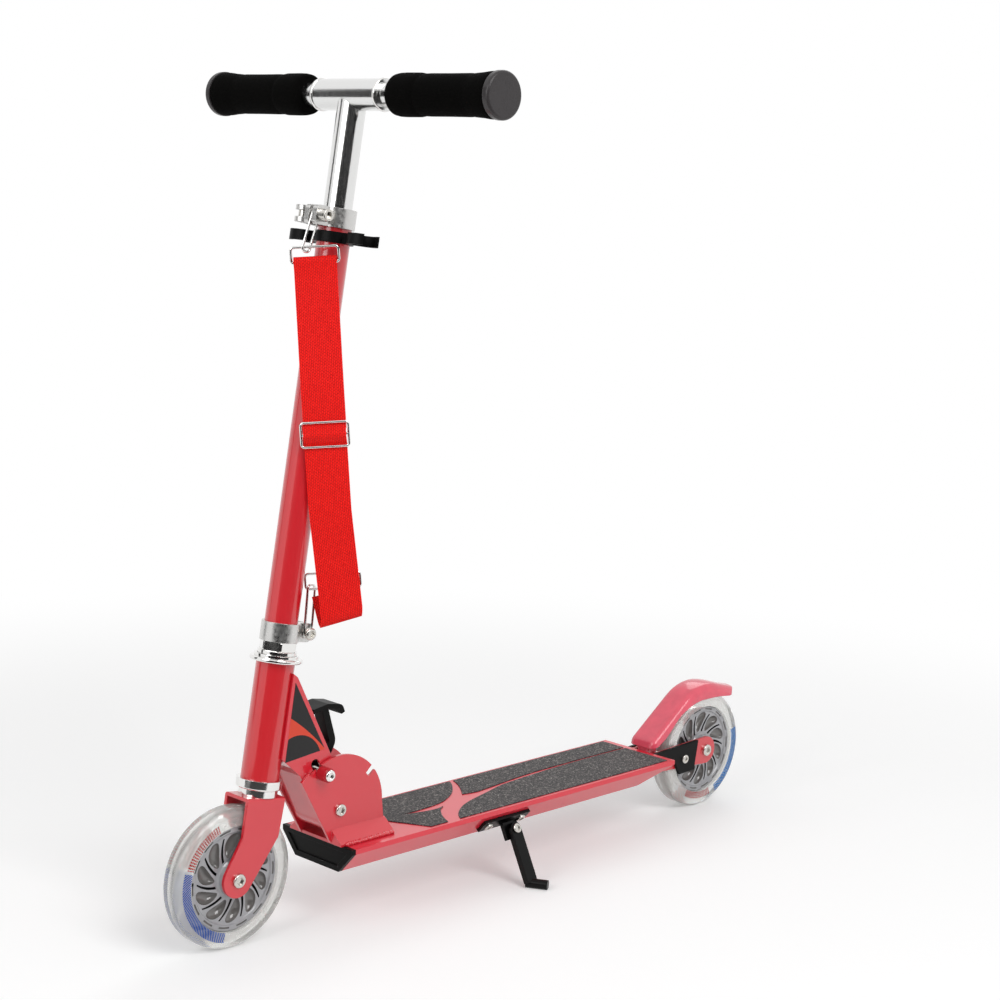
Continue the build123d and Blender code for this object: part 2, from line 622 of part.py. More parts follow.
def headset_nut():
    nut = Pos(0, 0, NUT_BOTTOM) * hex_prism(HEADSET_NUT_ACROSS, HEADSET_NUT_HEIGHT)
    nut &= fillet(post(HEADSET_NUT_ACROSS / 2 * 1.13, NUT_BOTTOM, CLAMP_BOTTOM).edges(), 1.2)
    return STEER * (nut - post(STEERER_RADIUS + FIT, NUT_BOTTOM, CLAMP_BOTTOM))


def lock_rod():
    reach = HINGE_OUTER + PLAY + LOCK_SLEEVE_LENGTH - FIT
    shoulder = HINGE_INNER - 2 * SIDE_PLAY
    bar = rod(LOCK_ROD_RADIUS, -shoulder, shoulder) + rod(LOCK_NECK_RADIUS, -reach, reach)
    depth = LOCK_SCREW_SHARE * LOCK_SLEEVE_LENGTH + FIT
    for start in (-reach, reach - depth):
        bar -= rod(LOCK_NECK_RADIUS / 2 + FIT, start, start + depth)
    return Pos(LOCK_X, 0, LOCK_Z) * bar


def lock_sleeves():
    start = HINGE_OUTER + PLAY
    sleeve = ring(LOCK_SLEEVE_RADIUS, LOCK_NECK_RADIUS + FIT, start, start + LOCK_SLEEVE_LENGTH)
    return Pos(LOCK_X, 0, LOCK_Z) * group([sleeve, mirror(sleeve, Plane.XZ)])


def lock_bolts():
    seat = HINGE_OUTER + PLAY + LOCK_SLEEVE_LENGTH
    tip = seat - LOCK_SCREW_SHARE * LOCK_SLEEVE_LENGTH
    head = bolt(LOCK_NECK_RADIUS / 2, LOCK_HEAD_RADIUS, tip, seat)
    return Pos(LOCK_X, 0, LOCK_Z) * group([head, mirror(head, Plane.XZ)])


def lock_lever():
    """Plastic fold lever: a hub on the lock rod, a stem out of the back and a finger hook."""
    hub = LOCK_ROD_RADIUS + 4
    stem = trace(FilletPolyline((0, 0), (-18, 8), (-24.5, 20), (-14.5, 52), radius=8), 7)
    hook = trace(FilletPolyline((-31.5, 45), (-29, 51), (-14.5, 53.5), (1.5, 51), radius=4), 4)
    body = side_plate(stem + Circle(hub), -6, 6) + side_plate(hook, -11, 11)
    body -= rod(LOCK_ROD_RADIUS + FIT, -20, 20)
    return Pos(LOCK_X, 0, LOCK_Z) * body


def lock_spring():
    """Coil that draws the lock rod down, kept as its outer shape."""
    start = LOCK_ROD_RADIUS + FIT
    end = LOCK_RADIUS - SLEEVE_RADIUS - FIT
    coil = Rot(0, 90 - LOCK_ANGLE, 0) * Pos(0, 0, -(start + end) / 2) * Cylinder(2.5, end - start)
    return Pos(LOCK_X, 11, LOCK_Z) * coil


def fork():
    waist = CROWN_TOP - LEG_WAIST_DROP
    upper = outline([(CROWN_REAR, CROWN_TOP), (CROWN_FRONT, CROWN_TOP), (CROWN_FRONT, waist), (CROWN_REAR + 2, waist)])
    end = Pos(AXLE_E, AXLE_S) * Circle(LEG_END_RADIUS)
    lower = make_hull(end.edges() + [Line((CROWN_REAR + 2, waist), (CROWN_FRONT, waist))])
    leg = side_plate(upper + lower, FORK_INNER, FORK_OUTER)
    crown = block((CROWN_REAR, CROWN_FRONT), (-FORK_OUTER, FORK_OUTER), (CROWN_UNDER, CROWN_TOP))
    body = crown + leg + mirror(leg, Plane.XZ)
    bends = body.edges().filter_by(Axis.X).group_by(Axis.Z)[-1]
    body = fillet(bends, FORK_BEND)
    body -= Pos(AXLE_E, 0, AXLE_S) * rod(AXLE_RADIUS + FIT, -FORK_OUTER, FORK_OUTER)
    body -= post(STEERER_RADIUS + FIT, CROWN_UNDER - 1, CROWN_TOP + 1)
    return STEER * body


def steerer_tube():
    top = HEAD_TOP + STEERER_ABOVE_HEAD
    return STEER * collar(STEERER_RADIUS, STEERER_RADIUS - STEERER_WALL, CROWN_UNDER, top)


def split_clamp(bore, s_from, s_to, side):
    """Clamp ring with two ears; side is +1 for ears at the front and -1 at the back."""
    body = post(CLAMP_RADIUS, s_from, s_to)
    near = side * (CLAMP_RADIUS - CLAMP_WALL)
    far = side * EAR_END
    body += block(sorted((near, far)), (-EAR_OUTER, EAR_OUTER), (s_from, s_to))
    body -= post(bore, s_from, s_to)
    body -= block(sorted((0, side * (EAR_END + 1))), (-EAR_GAP / 2, EAR_GAP / 2), (s_from, s_to))
    corners = body.edges().filter_by(Axis.Y).group_by(Axis.X)[-1 if side > 0 else 0]
    body = fillet(corners, 4)
    middle = (s_from + s_to) / 2
    return body - Pos(side * CLAMP_BOLT_E, 0, middle) * rod(CLAMP_BOLT_RADIUS + FIT, -EAR_OUTER, EAR_OUTER)


def lower_clamp():
    return STEER * split_clamp(TUBE_RADIUS + FIT, CLAMP_BOTTOM, CLAMP_BOTTOM + CLAMP_HEIGHT, -1)


def lower_clamp_bolt():
    seat = EAR_OUTER + 4 * WIRE_RADIUS
    bar = bolt(CLAMP_BOLT_RADIUS, CLAMP_HEAD_RADIUS, -EAR_OUTER - NUT_HEIGHT - 1, seat, CLAMP_HEAD_LENGTH)
    nut = hex_nut(2 * CLAMP_HEAD_RADIUS * 0.9, CLAMP_BOLT_RADIUS + FIT, -EAR_OUTER - NUT_HEIGHT, -EAR_OUTER)
    return STEER * Pos(-CLAMP_BOLT_E, 0, LOWER_BOLT_S) * group([bar, nut])


def steering_tube():
    return STEER * collar(TUBE_RADIUS, TUBE_BORE, TUBE_BOTTOM, TUBE_TOP)


def quick_release_clamp():
    body = split_clamp(TUBE_BORE, RELEASE_BOTTOM, RELEASE_TOP, 1)
    body -= post(TUBE_RADIUS + FIT, RELEASE_BOTTOM, TUBE_TOP + FIT)
    return STEER * body


def quick_release_bolt():
    """Eye bolt through the clamp ears with its socket nut."""
    seat = EAR_OUTER
    eye_height = 2 * CLAMP_BOLT_RADIUS
    eye = Pos(0, RELEASE_PIN_Y, 0) * Cylinder(RELEASE_EYE_RADIUS, eye_height)
    shank = rod(CLAMP_BOLT_RADIUS, RELEASE_PIN_Y, seat + RELEASE_NUT_LENGTH / 2) + eye
    shank -= Pos(0, RELEASE_PIN_Y, 0) * Cylinder(RELEASE_PIN_RADIUS + FIT, 4 * eye_height)
    nut = rod(CLAMP_HEAD_RADIUS, seat, seat + RELEASE_NUT_LENGTH)
    nut = fillet(nut.edges().group_by(Axis.Y)[-1], 0.8)
    nut -= rod(CLAMP_BOLT_RADIUS + FIT, seat, seat + RELEASE_NUT_LENGTH / 2 + FIT)
    depth = RELEASE_NUT_LENGTH / 3
    nut -= Pos(0, seat + RELEASE_NUT_LENGTH, 0) * Rot(90, 0, 0) * hex_prism(CLAMP_HEAD_RADIUS, depth)
    return STEER * Pos(CLAMP_BOLT_E, 0, RELEASE_S) * group([shank, nut])


def quick_release_lever():
    """Cam lever: two cheeks on a pin through the eye bolt and an arm that wraps back along the tube."""
    cam = EAR_OUTER + RELEASE_PIN_Y
    cam_radius = abs(cam) - PLAY
    gap = CLAMP_BOLT_RADIUS + PLAY
    top = gap + RELEASE_CHEEK
    root = RELEASE_EYE_RADIUS + 1
    sheet = RELEASE_LEVER_SHEET
    end = -RELEASE_LEVER_LENGTH
    arm = outline([(-root, -cam_radius), (-root, sheet - cam_radius), (end, sheet - cam_radius), (end, -cam_radius)])
    cheek = Circle(cam_radius) + outline([
        (0, -cam_radius), (0, cam_radius), (-root, cam_radius - 1), (-root - sheet, -cam_radius),
    ])
    body = extrude(arm, top, both=True)
    for low in (gap, -top):
        body += Pos(0, 0, low) * extrude(cheek, RELEASE_CHEEK)
    body += Cylinder(RELEASE_PIN_RADIUS, 2 * top)
    turned = Rot(0, 0, RELEASE_LEVER_SPLAY) * body
    return STEER * Pos(CLAMP_BOLT_E, RELEASE_PIN_Y, RELEASE_S) * turned


def grip_holder_clip():
    """Plastic ring on the tube with an open clip at each side for a pulled-out arm."""
    low = CLIP_TOP - CLIP_HEIGHT
    body = Circle(TUBE_RADIUS + FIT + CLIP_WALL)
    hold = ARM_RADIUS + PLAY
    for side in (-1, 1):
        hoop = Pos(0, side * CLIP_REACH) * (Circle(hold + CLIP_WALL) - Circle(hold))
        mouth = Pos(0, side * (CLIP_REACH + hold)) * Rectangle(2 * hold * 0.8, 2 * hold)
        body += hoop - mouth
        body += Pos(0, side * (TUBE_RADIUS + CLIP_REACH - hold) / 2) * Rectangle(
            3 * CLIP_WALL, CLIP_REACH - hold - TUBE_RADIUS)
    body -= Circle(TUBE_RADIUS + FIT)
    return STEER * Pos(0, 0, low) * extrude(body, CLIP_HEIGHT)


def column_point(forward, side, along):
    x, z = steer_xz(forward, along)
    return Vector(x, side, z)


STRAP_TOP = column_point(STRAP_TOP_LEAD, STRAP_TOP_SIDE, RELEASE_S - STRAP_TOP_DROP)
STRAP_END = column_point(STRAP_END_LEAD, STRAP_END_SIDE, LOWER_BOLT_S + STRAP_END_RISE)
STRAP_LENGTH = (STRAP_END - STRAP_TOP).length


def strap_plane():
    """Plane across the strap's width: X down the strap, Y towards the side that it faces."""
    facing = Vector(1, 0, 0).rotate(Axis.Z, STRAP_FACING)
    down = (STRAP_END - STRAP_TOP).normalized()
    return Plane(tuple(STRAP_TOP), tuple(down), tuple(down.cross(facing)))


def strap_path():
    """Middle line of the webbing: a shallow bow, a fold at the bottom and a short tail behind."""
    back = -2 * STRAP_FOLD_RADIUS
    end = STRAP_BOW * STRAP_END_SHARE
    points = [
        (0, 0), (STRAP_LENGTH / 3, STRAP_BOW * 0.8), (2 * STRAP_LENGTH / 3, STRAP_BOW), (STRAP_LENGTH, end),
        (STRAP_LENGTH, end + back), (STRAP_LENGTH - STRAP_TAIL, end + back - 1),
    ]
    gentle = STRAP_LENGTH * 0.8
    tight = STRAP_FOLD_RADIUS * 0.95
    return FilletPolyline(*points, radius=[gentle, gentle, tight, tight])


def strap():
    front = trace(strap_path(), STRAP_THICKNESS)
    step = -STRAP_THICKNESS - SIDE_PLAY
    rise = STRAP_BOW * 0.8 * 3 * STRAP_DOUBLE / STRAP_LENGTH
    back = trace(
        FilletPolyline(
            (0, step), (STRAP_DOUBLE / 2, step + rise / 2 - SIDE_PLAY), (STRAP_DOUBLE, step + rise * 0.8),
            radius=STRAP_LENGTH,
        ),
        STRAP_THICKNESS,
    )
    layers = [extrude(layer, STRAP_WIDTH / 2, both=True) for layer in (front, back)]
    return strap_plane().location * group(layers)


def rectangle_ring(centre_u, centre_v, height, lead=0):
    """Wire rectangle across the strap, in the strap plane's axes."""
    half = STRAP_WIDTH / 2 + RING_MARGIN
    far = half + lead
    top = centre_u - height / 2
    low = centre_u + height / 2
    corners = [(top, centre_v, -half), (low, centre_v, -half), (low, centre_v, far), (top, centre_v, far)]
    return wire(corners, WIRE_RADIUS, 2.5 * WIRE_RADIUS)


def strap_slider():
    """Wire slide buckle that lies on the front of the webbing."""
    path = strap_path()
    share = (SLIDER_TOP + SLIDER_HEIGHT / 2) / path.length
    place = Plane(path @ share, tuple(path % share), (0, 0, 1)).location
    out = STRAP_THICKNESS / 2 + WIRE_RADIUS + PLAY
    half = STRAP_WIDTH / 2 + RING_MARGIN
    bar = Pos(0, out, 0) * Cylinder(WIRE_RADIUS, 2 * half)
    return strap_plane().location * place * (rectangle_ring(0, out, SLIDER_HEIGHT) + bar)


def ring_centres():
    """Middle of the top and bottom rings, in the strap plane's axes."""
    clear = RING_HEIGHT / 2 - WIRE_RADIUS - 2 * PLAY
    back = STRAP_BOW * STRAP_END_SHARE - 2 * STRAP_FOLD_RADIUS - 1
    return (-clear - 3 * WIRE_RADIUS, 0), (STRAP_LENGTH - STRAP_TAIL - clear - 3 * WIRE_RADIUS, back)


def hook_loop(upper, lower):
    """Long wire loop that holds two bars."""
    along = (lower - upper).normalized()
    reach = CLAMP_BOLT_RADIUS + WIRE_RADIUS + PLAY
    aside = Vector(along.Z, 0, -along.X).normalized() * reach
    first = upper - along * reach
    last = lower + along * reach
    corners = [first + aside, first - aside, last - aside, last + aside]
    return wire([tuple(corner) for corner in corners], WIRE_RADIUS, reach * 0.95)


def strap_hooks():
    """Wire rings at the strap's ends and the wire hooks from them to the two clamp bolts."""
    frame = strap_plane()
    (top_u, top_v), (low_u, low_v) = ring_centres()
    top_ring = frame.location * rectangle_ring(top_u, top_v, RING_HEIGHT)
    low_ring = frame.location * rectangle_ring(low_u, low_v, RING_HEIGHT, LOW_RING_LEAD)

    def bar_at(u, v, y):
        start = frame.from_local_coords(Vector(u, v, 0))
        return start + frame.z_dir * ((y - start.Y) / frame.z_dir.Y)

    x, z = steer_xz(CLAMP_BOLT_E, RELEASE_S)
    top_hook = hook_loop(Vector(x, 0, z), bar_at(top_u - RING_HEIGHT / 2, top_v, 0))
    x, z = steer_xz(-CLAMP_BOLT_E, LOWER_BOLT_S)
    edge_y = EAR_OUTER - 2 * PLAY
    low_hook = hook_loop(bar_at(low_u + RING_HEIGHT / 2, low_v, edge_y), Vector(x, EAR_OUTER + 2 * WIRE_RADIUS, z))
    return group([top_ring, top_hook, low_ring, low_hook])


def t_tube():
    tube = collar(T_TUBE_RADIUS, T_TUBE_RADIUS - T_TUBE_WALL, T_HEIGHT - T_TUBE_LENGTH, T_HEIGHT)
    return STEER * (tube - Pos(0, 0, T_HEIGHT) * rod(T_SLEEVE_RADIUS + FIT, -T_SLEEVE_HALF, T_SLEEVE_HALF))


def t_tube_plug():
    bottom = T_HEIGHT - T_TUBE_LENGTH
    plug = post(T_TUBE_RADIUS, bottom - 4, bottom) + post(T_TUBE_RADIUS - T_TUBE_WALL - FIT, bottom, bottom + 15)
    return STEER * plug


def t_sleeve():
    """Cross tube; a slot at the back of each end lets the snap button pass."""
    sleeve = ring(T_SLEEVE_RADIUS, ARM_RADIUS + SLIDE_FIT, -T_SLEEVE_HALF, T_SLEEVE_HALF)
    width = BUTTON_RADIUS + PLAY
    for side in (-1, 1):
        limits = sorted((side * BUTTON_Y, side * (T_SLEEVE_HALF + 1)))
        sleeve -= block((-T_SLEEVE_RADIUS - 1, 0), limits, (-width, width))
        sleeve -= Pos(-T_SLEEVE_RADIUS / 2 - 1, side * BUTTON_Y, 0) * Rot(0, 90, 0) * Cylinder(width, T_SLEEVE_RADIUS + 2)
    return STEER * Pos(0, 0, T_HEIGHT) * sleeve


def shock_cord():
    reach = HANDLE_HALF - CAP_THICKNESS - CAP_PLUG_LENGTH - FIT
    return STEER * Pos(0, 0, T_HEIGHT) * rod(CORD_RADIUS, -reach, reach)


def on_handle(shape, side):
    """Place a left-hand handle piece; side is -1 for its mirror image on the right."""
    placed = shape if side > 0 else mirror(shape, Plane.XZ)
    return STEER * Pos(0, 0, T_HEIGHT) * placed


def arm(side):
    tube = ring(ARM_RADIUS, ARM_RADIUS - ARM_WALL, ARM_INNER_END, HANDLE_HALF - CAP_THICKNESS)
    tube -= Pos(-ARM_RADIUS, BUTTON_Y, 0) * Rot(0, 90, 0) * Cylinder(BUTTON_RADIUS + FIT, ARM_RADIUS)
    return on_handle(tube, side)


def foam_grip(side):
    """Foam sleeve with a thick outer end and two grooves."""
    end = HANDLE_HALF - CAP_THICKNESS - FIT
    foam = rod(GRIP_RADIUS, GRIP_START, end) + rod(GRIP_FLANGE_RADIUS, end - GRIP_FLANGE_LENGTH, end)
    length = end - GRIP_START
    for share in (0.3, 0.8):
        middle = GRIP_START + share * length
        low, high = middle - GRIP_GROOVE_WIDTH / 2, middle + GRIP_GROOVE_WIDTH / 2
        foam -= ring(GRIP_FLANGE_RADIUS, GRIP_RADIUS - GRIP_GROOVE_DEPTH, low, high)
    foam -= rod(ARM_RADIUS + FIT, GRIP_START, end)
    return on_handle(foam, side)


def end_cap(side):
    start = HANDLE_HALF - CAP_THICKNESS
    cap = rod(CAP_RADIUS, start, HANDLE_HALF)
    cap = fillet(cap.edges().group_by(Axis.Y)[-1], CAP_THICKNESS * 0.4)
    cap += rod(ARM_RADIUS - ARM_WALL - FIT, start - CAP_PLUG_LENGTH, start)
    return on_handle(cap, side)


def snap_button(side):
    tip = T_SLEEVE_RADIUS + BUTTON_PROUD
    inside = math.sqrt((ARM_RADIUS - ARM_WALL) ** 2 - BUTTON_FLANGE_RADIUS ** 2) - SIDE_PLAY
    pin = Pos(-(tip + inside) / 2, 0, 0) * Rot(0, 90, 0) * Cylinder(BUTTON_RADIUS, tip - inside)
    pin = fillet(pin.edges().group_by(Axis.X)[0], 1.0)
    foot = Pos(0.5 - inside, 0, 0) * Rot(0, 90, 0) * Cylinder(BUTTON_FLANGE_RADIUS, 1)
    return on_handle(Pos(0, BUTTON_Y, 0) * (pin + foot), side)


def rear_dropouts():
    """Two plates out of the deck's hollow to the rear axle, joined by a web that is screwed to the deck."""
    low = DECK_BOTTOM + DECK_WALL + SIDE_PLAY
    high = DECK_TOP - DECK_WALL - SIDE_PLAY
    inner_x = DECK_REAR_X + DROPOUT_INSERT
    end = Pos(REAR_AXLE_X, WHEEL_RADIUS) * Circle(DROPOUT_END_RADIUS)
    tail = make_hull(end.edges() + [Line((DECK_REAR_X - 1, low), (DECK_REAR_X - 1, high))])
    side = tail + outline([(DECK_REAR_X - 1, low), (inner_x, low), (inner_x, high), (DECK_REAR_X - 1, high)])
    plate = side_plate(side, FORK_INNER, DROPOUT_OUTER)
    half = FORK_INNER + DROPOUT_SHEET / 2
    web = block((inner_x - DROPOUT_WEB_LENGTH, inner_x), (-half, half), (low, low + DROPOUT_SHEET))
    body = plate + mirror(plate, Plane.XZ) + web
    body -= Pos(REAR_AXLE_X, 0, WHEEL_RADIUS) * rod(AXLE_RADIUS + FIT, -DROPOUT_OUTER, DROPOUT_OUTER)
    body -= Pos(BRAKE_PIN_X, 0, BRAKE_PIN_Z) * rod(BRAKE_PIN_RADIUS + FIT, -DROPOUT_OUTER, DROPOUT_OUTER)
    x, z = cover_screw_place()
    body -= Pos(x, 0, z) * rod(SCREW_RADIUS + FIT, -DROPOUT_OUTER, DROPOUT_OUTER)
    for x, y in dropout_screw_places():
        body -= Pos(x, y, low) * Cylinder(SCREW_RADIUS + FIT, 4 * DROPOUT_SHEET)
    return body


def cover_screw_place():
    return REAR_AXLE_X + 38, WHEEL_RADIUS - 2


def rear_side_covers():
    front = DECK_REAR_X - 2
    back = REAR_AXLE_X + DROPOUT_END_RADIUS + 3
    side = outline([
        (front, DECK_TOP - 1), (back, DECK_TOP + 1.5), (back + 5, WHEEL_RADIUS - 16), (back + 28, WHEEL_RADIUS - 17),
        (back + 36, WHEEL_RADIUS - 3), (front, DECK_TOP - DECK_LIP - 2),
    ])
    start = DROPOUT_OUTER + SIDE_PLAY
    cover = side_plate(side, start, start + COVER_THICKNESS)
    x, z = cover_screw_place()
    cover -= Pos(x, 0, z) * rod(SCREW_RADIUS + FIT, start, start + COVER_THICKNESS)
    return group([cover, mirror(cover, Plane.XZ)])


def cover_screws():
    seat = DROPOUT_OUTER + SIDE_PLAY + COVER_THICKNESS
    x, z = cover_screw_place()
    screw = Pos(x, 0, z) * bolt(SCREW_RADIUS, SCREW_HEAD_RADIUS, FORK_INNER, seat, SCREW_HEAD_HEIGHT)
    return group([screw, mirror(screw, Plane.XZ)])


def brake_pin():
    return Pos(BRAKE_PIN_X, 0, BRAKE_PIN_Z) * rod(BRAKE_PIN_RADIUS, -DROPOUT_OUTER, DROPOUT_OUTER)


def brake_spring():
    start = KNUCKLE_HALF + PLAY
    coil = ring(BRAKE_SPRING_RADIUS, BRAKE_PIN_RADIUS + FIT, start, FORK_INNER - SIDE_PLAY)
    return Pos(BRAKE_PIN_X, 0, BRAKE_PIN_Z) * group([coil, mirror(coil, Plane.XZ)])


def brake_fender():
    """Pressed fender over the rear wheel, hinged at its foot on the brake pin."""
    inner = WHEEL_RADIUS + FENDER_TYRE_GAP
    crest = inner + FENDER_WALL
    step = KNUCKLE_RADIUS
    foot_x = BRAKE_PIN_X - REAR_AXLE_X
    foot_z = DECK_TOP + step / 2 - WHEEL_RADIUS
    tail_x = 2 - WHEEL_RADIUS
    heel = (foot_x + 2.08 * step, foot_z)
    tail = (tail_x, 0.806 * crest)
    back = FilletPolyline(
        heel, (foot_x + 1.75 * step, foot_z + 1.2 * step), (0.296 * crest, 1.013 * crest),
        (-0.104 * crest, 1.013 * crest), (-0.666 * crest, 0.848 * crest), tail,
        radius=[0.15 * crest, 0.85 * crest, 0.85 * crest, 1.5 * crest],
    )
    low = -WHEEL_RADIUS / 2
    frame = Polyline(tail, (tail_x, low), (heel[0], low), heel)
    body = side_plate(make_face([back, frame]), -FENDER_HALF_WIDTH, FENDER_HALF_WIDTH)
    rims = [edge for edge in body.edges() if abs(abs(edge.center().Y) - FENDER_HALF_WIDTH) < 0.01]
    body = fillet(ShapeList(rims).sort_by(Axis.Z)[-2:], FENDER_CROWN_ROUND)
    toe = (foot_x + step, foot_z + 0.3 * step)
    lip = (tail_x - 0.13 * crest, 0.74 * crest)
    skirt = FilletPolyline(
        toe, (foot_x - 1.17 * step, foot_z + 1.5 * step), (0.666 * crest, 0.666 * crest), (0.296 * crest, 0.817 * crest),
        (-0.178 * crest, 0.814 * crest), (-0.592 * crest, 0.769 * crest), lip,
        radius=[0.6 * crest, 0.74 * crest, 0.88 * crest, 1.5 * crest, 1.5 * crest],
    )
    below = Polyline(
        toe, (foot_x + 3 * step, foot_z - 0.2 * step), (foot_x + 3 * step, 2 * low), (lip[0], 2 * low), lip,
    )
    body -= side_plate(make_face([skirt, below]), -2 * FENDER_HALF_WIDTH, 2 * FENDER_HALF_WIDTH)
    wall = FENDER_WALL
    hollow = Circle(inner) + outline([
        (foot_x + 0.4 * step, foot_z + 1.4 * step), (0.41 * crest, 0.868 * crest), (0, 0),
        (foot_x - 0.7 * step, foot_z - step),
    ])
    body -= side_plate(hollow, wall - FENDER_HALF_WIDTH, FENDER_HALF_WIDTH - wall)
    pin = (foot_x, BRAKE_PIN_Z - WHEEL_RADIUS)
    strut = outline([
        (pin[0] - step, pin[1]), (pin[0] + step, pin[1]), (foot_x + 1.9 * step, foot_z + 0.3 * step),
        (foot_x + 1.3 * step, foot_z + step), (foot_x + 0.3 * step, foot_z + 1.1 * step),
    ])
    knuckle = side_plate(strut + Pos(*pin) * Circle(KNUCKLE_RADIUS), -KNUCKLE_HALF, KNUCKLE_HALF)
    body += knuckle
    body -= Pos(pin[0], 0, pin[1]) * rod(BRAKE_PIN_RADIUS + FIT, -FENDER_HALF_WIDTH, FENDER_HALF_WIDTH)
    return Pos(REAR_AXLE_X, 0, WHEEL_RADIUS) * body


def deck_side_y(z):
    """Half width of the deck at a height on its slanted side."""
    share = (z - DECK_BOTTOM) / (DECK_HEIGHT - DECK_LIP)
    return DECK_BASE_WIDTH / 2 + share * (DECK_WIDTH - DECK_BASE_WIDTH) / 2


KICK_Y = DECK_BASE_WIDTH / 2 + KICK_STAND_OFF
KICK_HEIGHT = DECK_BOTTOM - KICK_DROP
KICK_DOWN = Vector(0, math.sin(math.radians(KICK_LEAN)), -math.cos(math.radians(KICK_LEAN)))
KICK_AXIS = Vector(0, math.cos(math.radians(KICK_LEAN)), math.sin(math.radians(KICK_LEAN)))
KICK = Plane((KICK_X, KICK_Y, KICK_HEIGHT), tuple(KICK_DOWN), tuple(KICK_AXIS))


def kickstand_bracket():
    """Plate on the deck's slanted side with a tab that carries the leg."""
    rise = DECK_HEIGHT - DECK_LIP
    run = (DECK_WIDTH - DECK_BASE_WIDTH) / 2
    slope = math.degrees(math.atan2(run, rise))
    middle_z = DECK_BOTTOM + rise / 2
    seat = Pos(KICK_X + KICK_PLATE_SHIFT, deck_side_y(middle_z), middle_z) * Rot(-slope, 0, 0)
    plate = seat * Pos(0, KICK_SHEET / 2 + SIDE_PLAY, 0) * Box(KICK_PLATE_LENGTH, KICK_SHEET, KICK_PLATE_WIDTH)
    half = 0.75 * KICK_LEG_WIDTH
    tab = KICK.location * block((-16, 8), (-half, half), (-KICK_SHEET - 1, 0))
    body = plate + tab
    body -= deck_bar(DECK_REAR_X, DECK_FRONT_X)
    for dx in (-1, 1):
        body -= seat * Pos(dx * KICK_PLATE_LENGTH * 0.36, 0, 0) * rod(SCREW_RADIUS + FIT, -1, 20)
    body -= KICK.location * Cylinder(KICK_BOLT_RADIUS + FIT, KICK_PLATE_LENGTH)
    return body


def kickstand_bolts():
    rise = DECK_HEIGHT - DECK_LIP
    run = (DECK_WIDTH - DECK_BASE_WIDTH) / 2
    slope = math.degrees(math.atan2(run, rise))
    middle_z = DECK_BOTTOM + rise / 2
    seat = Pos(KICK_X + KICK_PLATE_SHIFT, deck_side_y(middle_z), middle_z) * Rot(-slope, 0, 0)
    top = KICK_SHEET + SIDE_PLAY
    screws = [
        seat * Pos(dx * KICK_PLATE_LENGTH * 0.36, 0, 0)
        * bolt(SCREW_RADIUS, SCREW_HEAD_RADIUS, FIT, top, SCREW_HEAD_HEIGHT)
        for dx in (-1, 1)
    ]
    outer = KICK_LEG_THICKNESS + 2 * PLAY
    pivot = Rot(90, 0, 0) * bolt(KICK_BOLT_RADIUS, SCREW_HEAD_RADIUS, -KICK_SHEET - 1, outer, SCREW_HEAD_HEIGHT)
    return group(screws + [KICK.location * pivot])


def kickstand_leg():
    """Leg on the outside of the tab, with a rounded foot that rests flat on the ground."""
    reach = (KICK_HEIGHT + KICK_LEG_THICKNESS * KICK_AXIS.Z / 2 - KICK_FOOT_RADIUS) / -KICK_DOWN.Z
    low, high = PLAY, PLAY + KICK_LEG_THICKNESS
    leg = block((0, reach), (-KICK_LEG_WIDTH / 2, KICK_LEG_WIDTH / 2), (low, high))
    leg += Pos(0, 0, (low + high) / 2) * Cylinder(KICK_LEG_WIDTH / 2, KICK_LEG_THICKNESS)
    leg = KICK.location * leg
    ankle = KICK.from_local_coords(Vector(reach, 0, (low + high) / 2))
    toe = Rot(0, 0, 30) * rod(KICK_FOOT_RADIUS, -KICK_FOOT_RADIUS, KICK_FOOT_LENGTH)
    foot = Pos(ankle.X, ankle.Y, KICK_FOOT_RADIUS - KICK_FOOT_FLAT) * toe
    leg += foot
    wide = KICK_PLATE_LENGTH
    leg -= block((KICK_X - wide, KICK_X + wide), (0, 3 * wide), (-wide, 0))
    return leg - KICK.location * Cylinder(KICK_BOLT_RADIUS + FIT, wide)


def place_wheel(shape, x):
    return Pos(x, 0, WHEEL_RADIUS) * shape


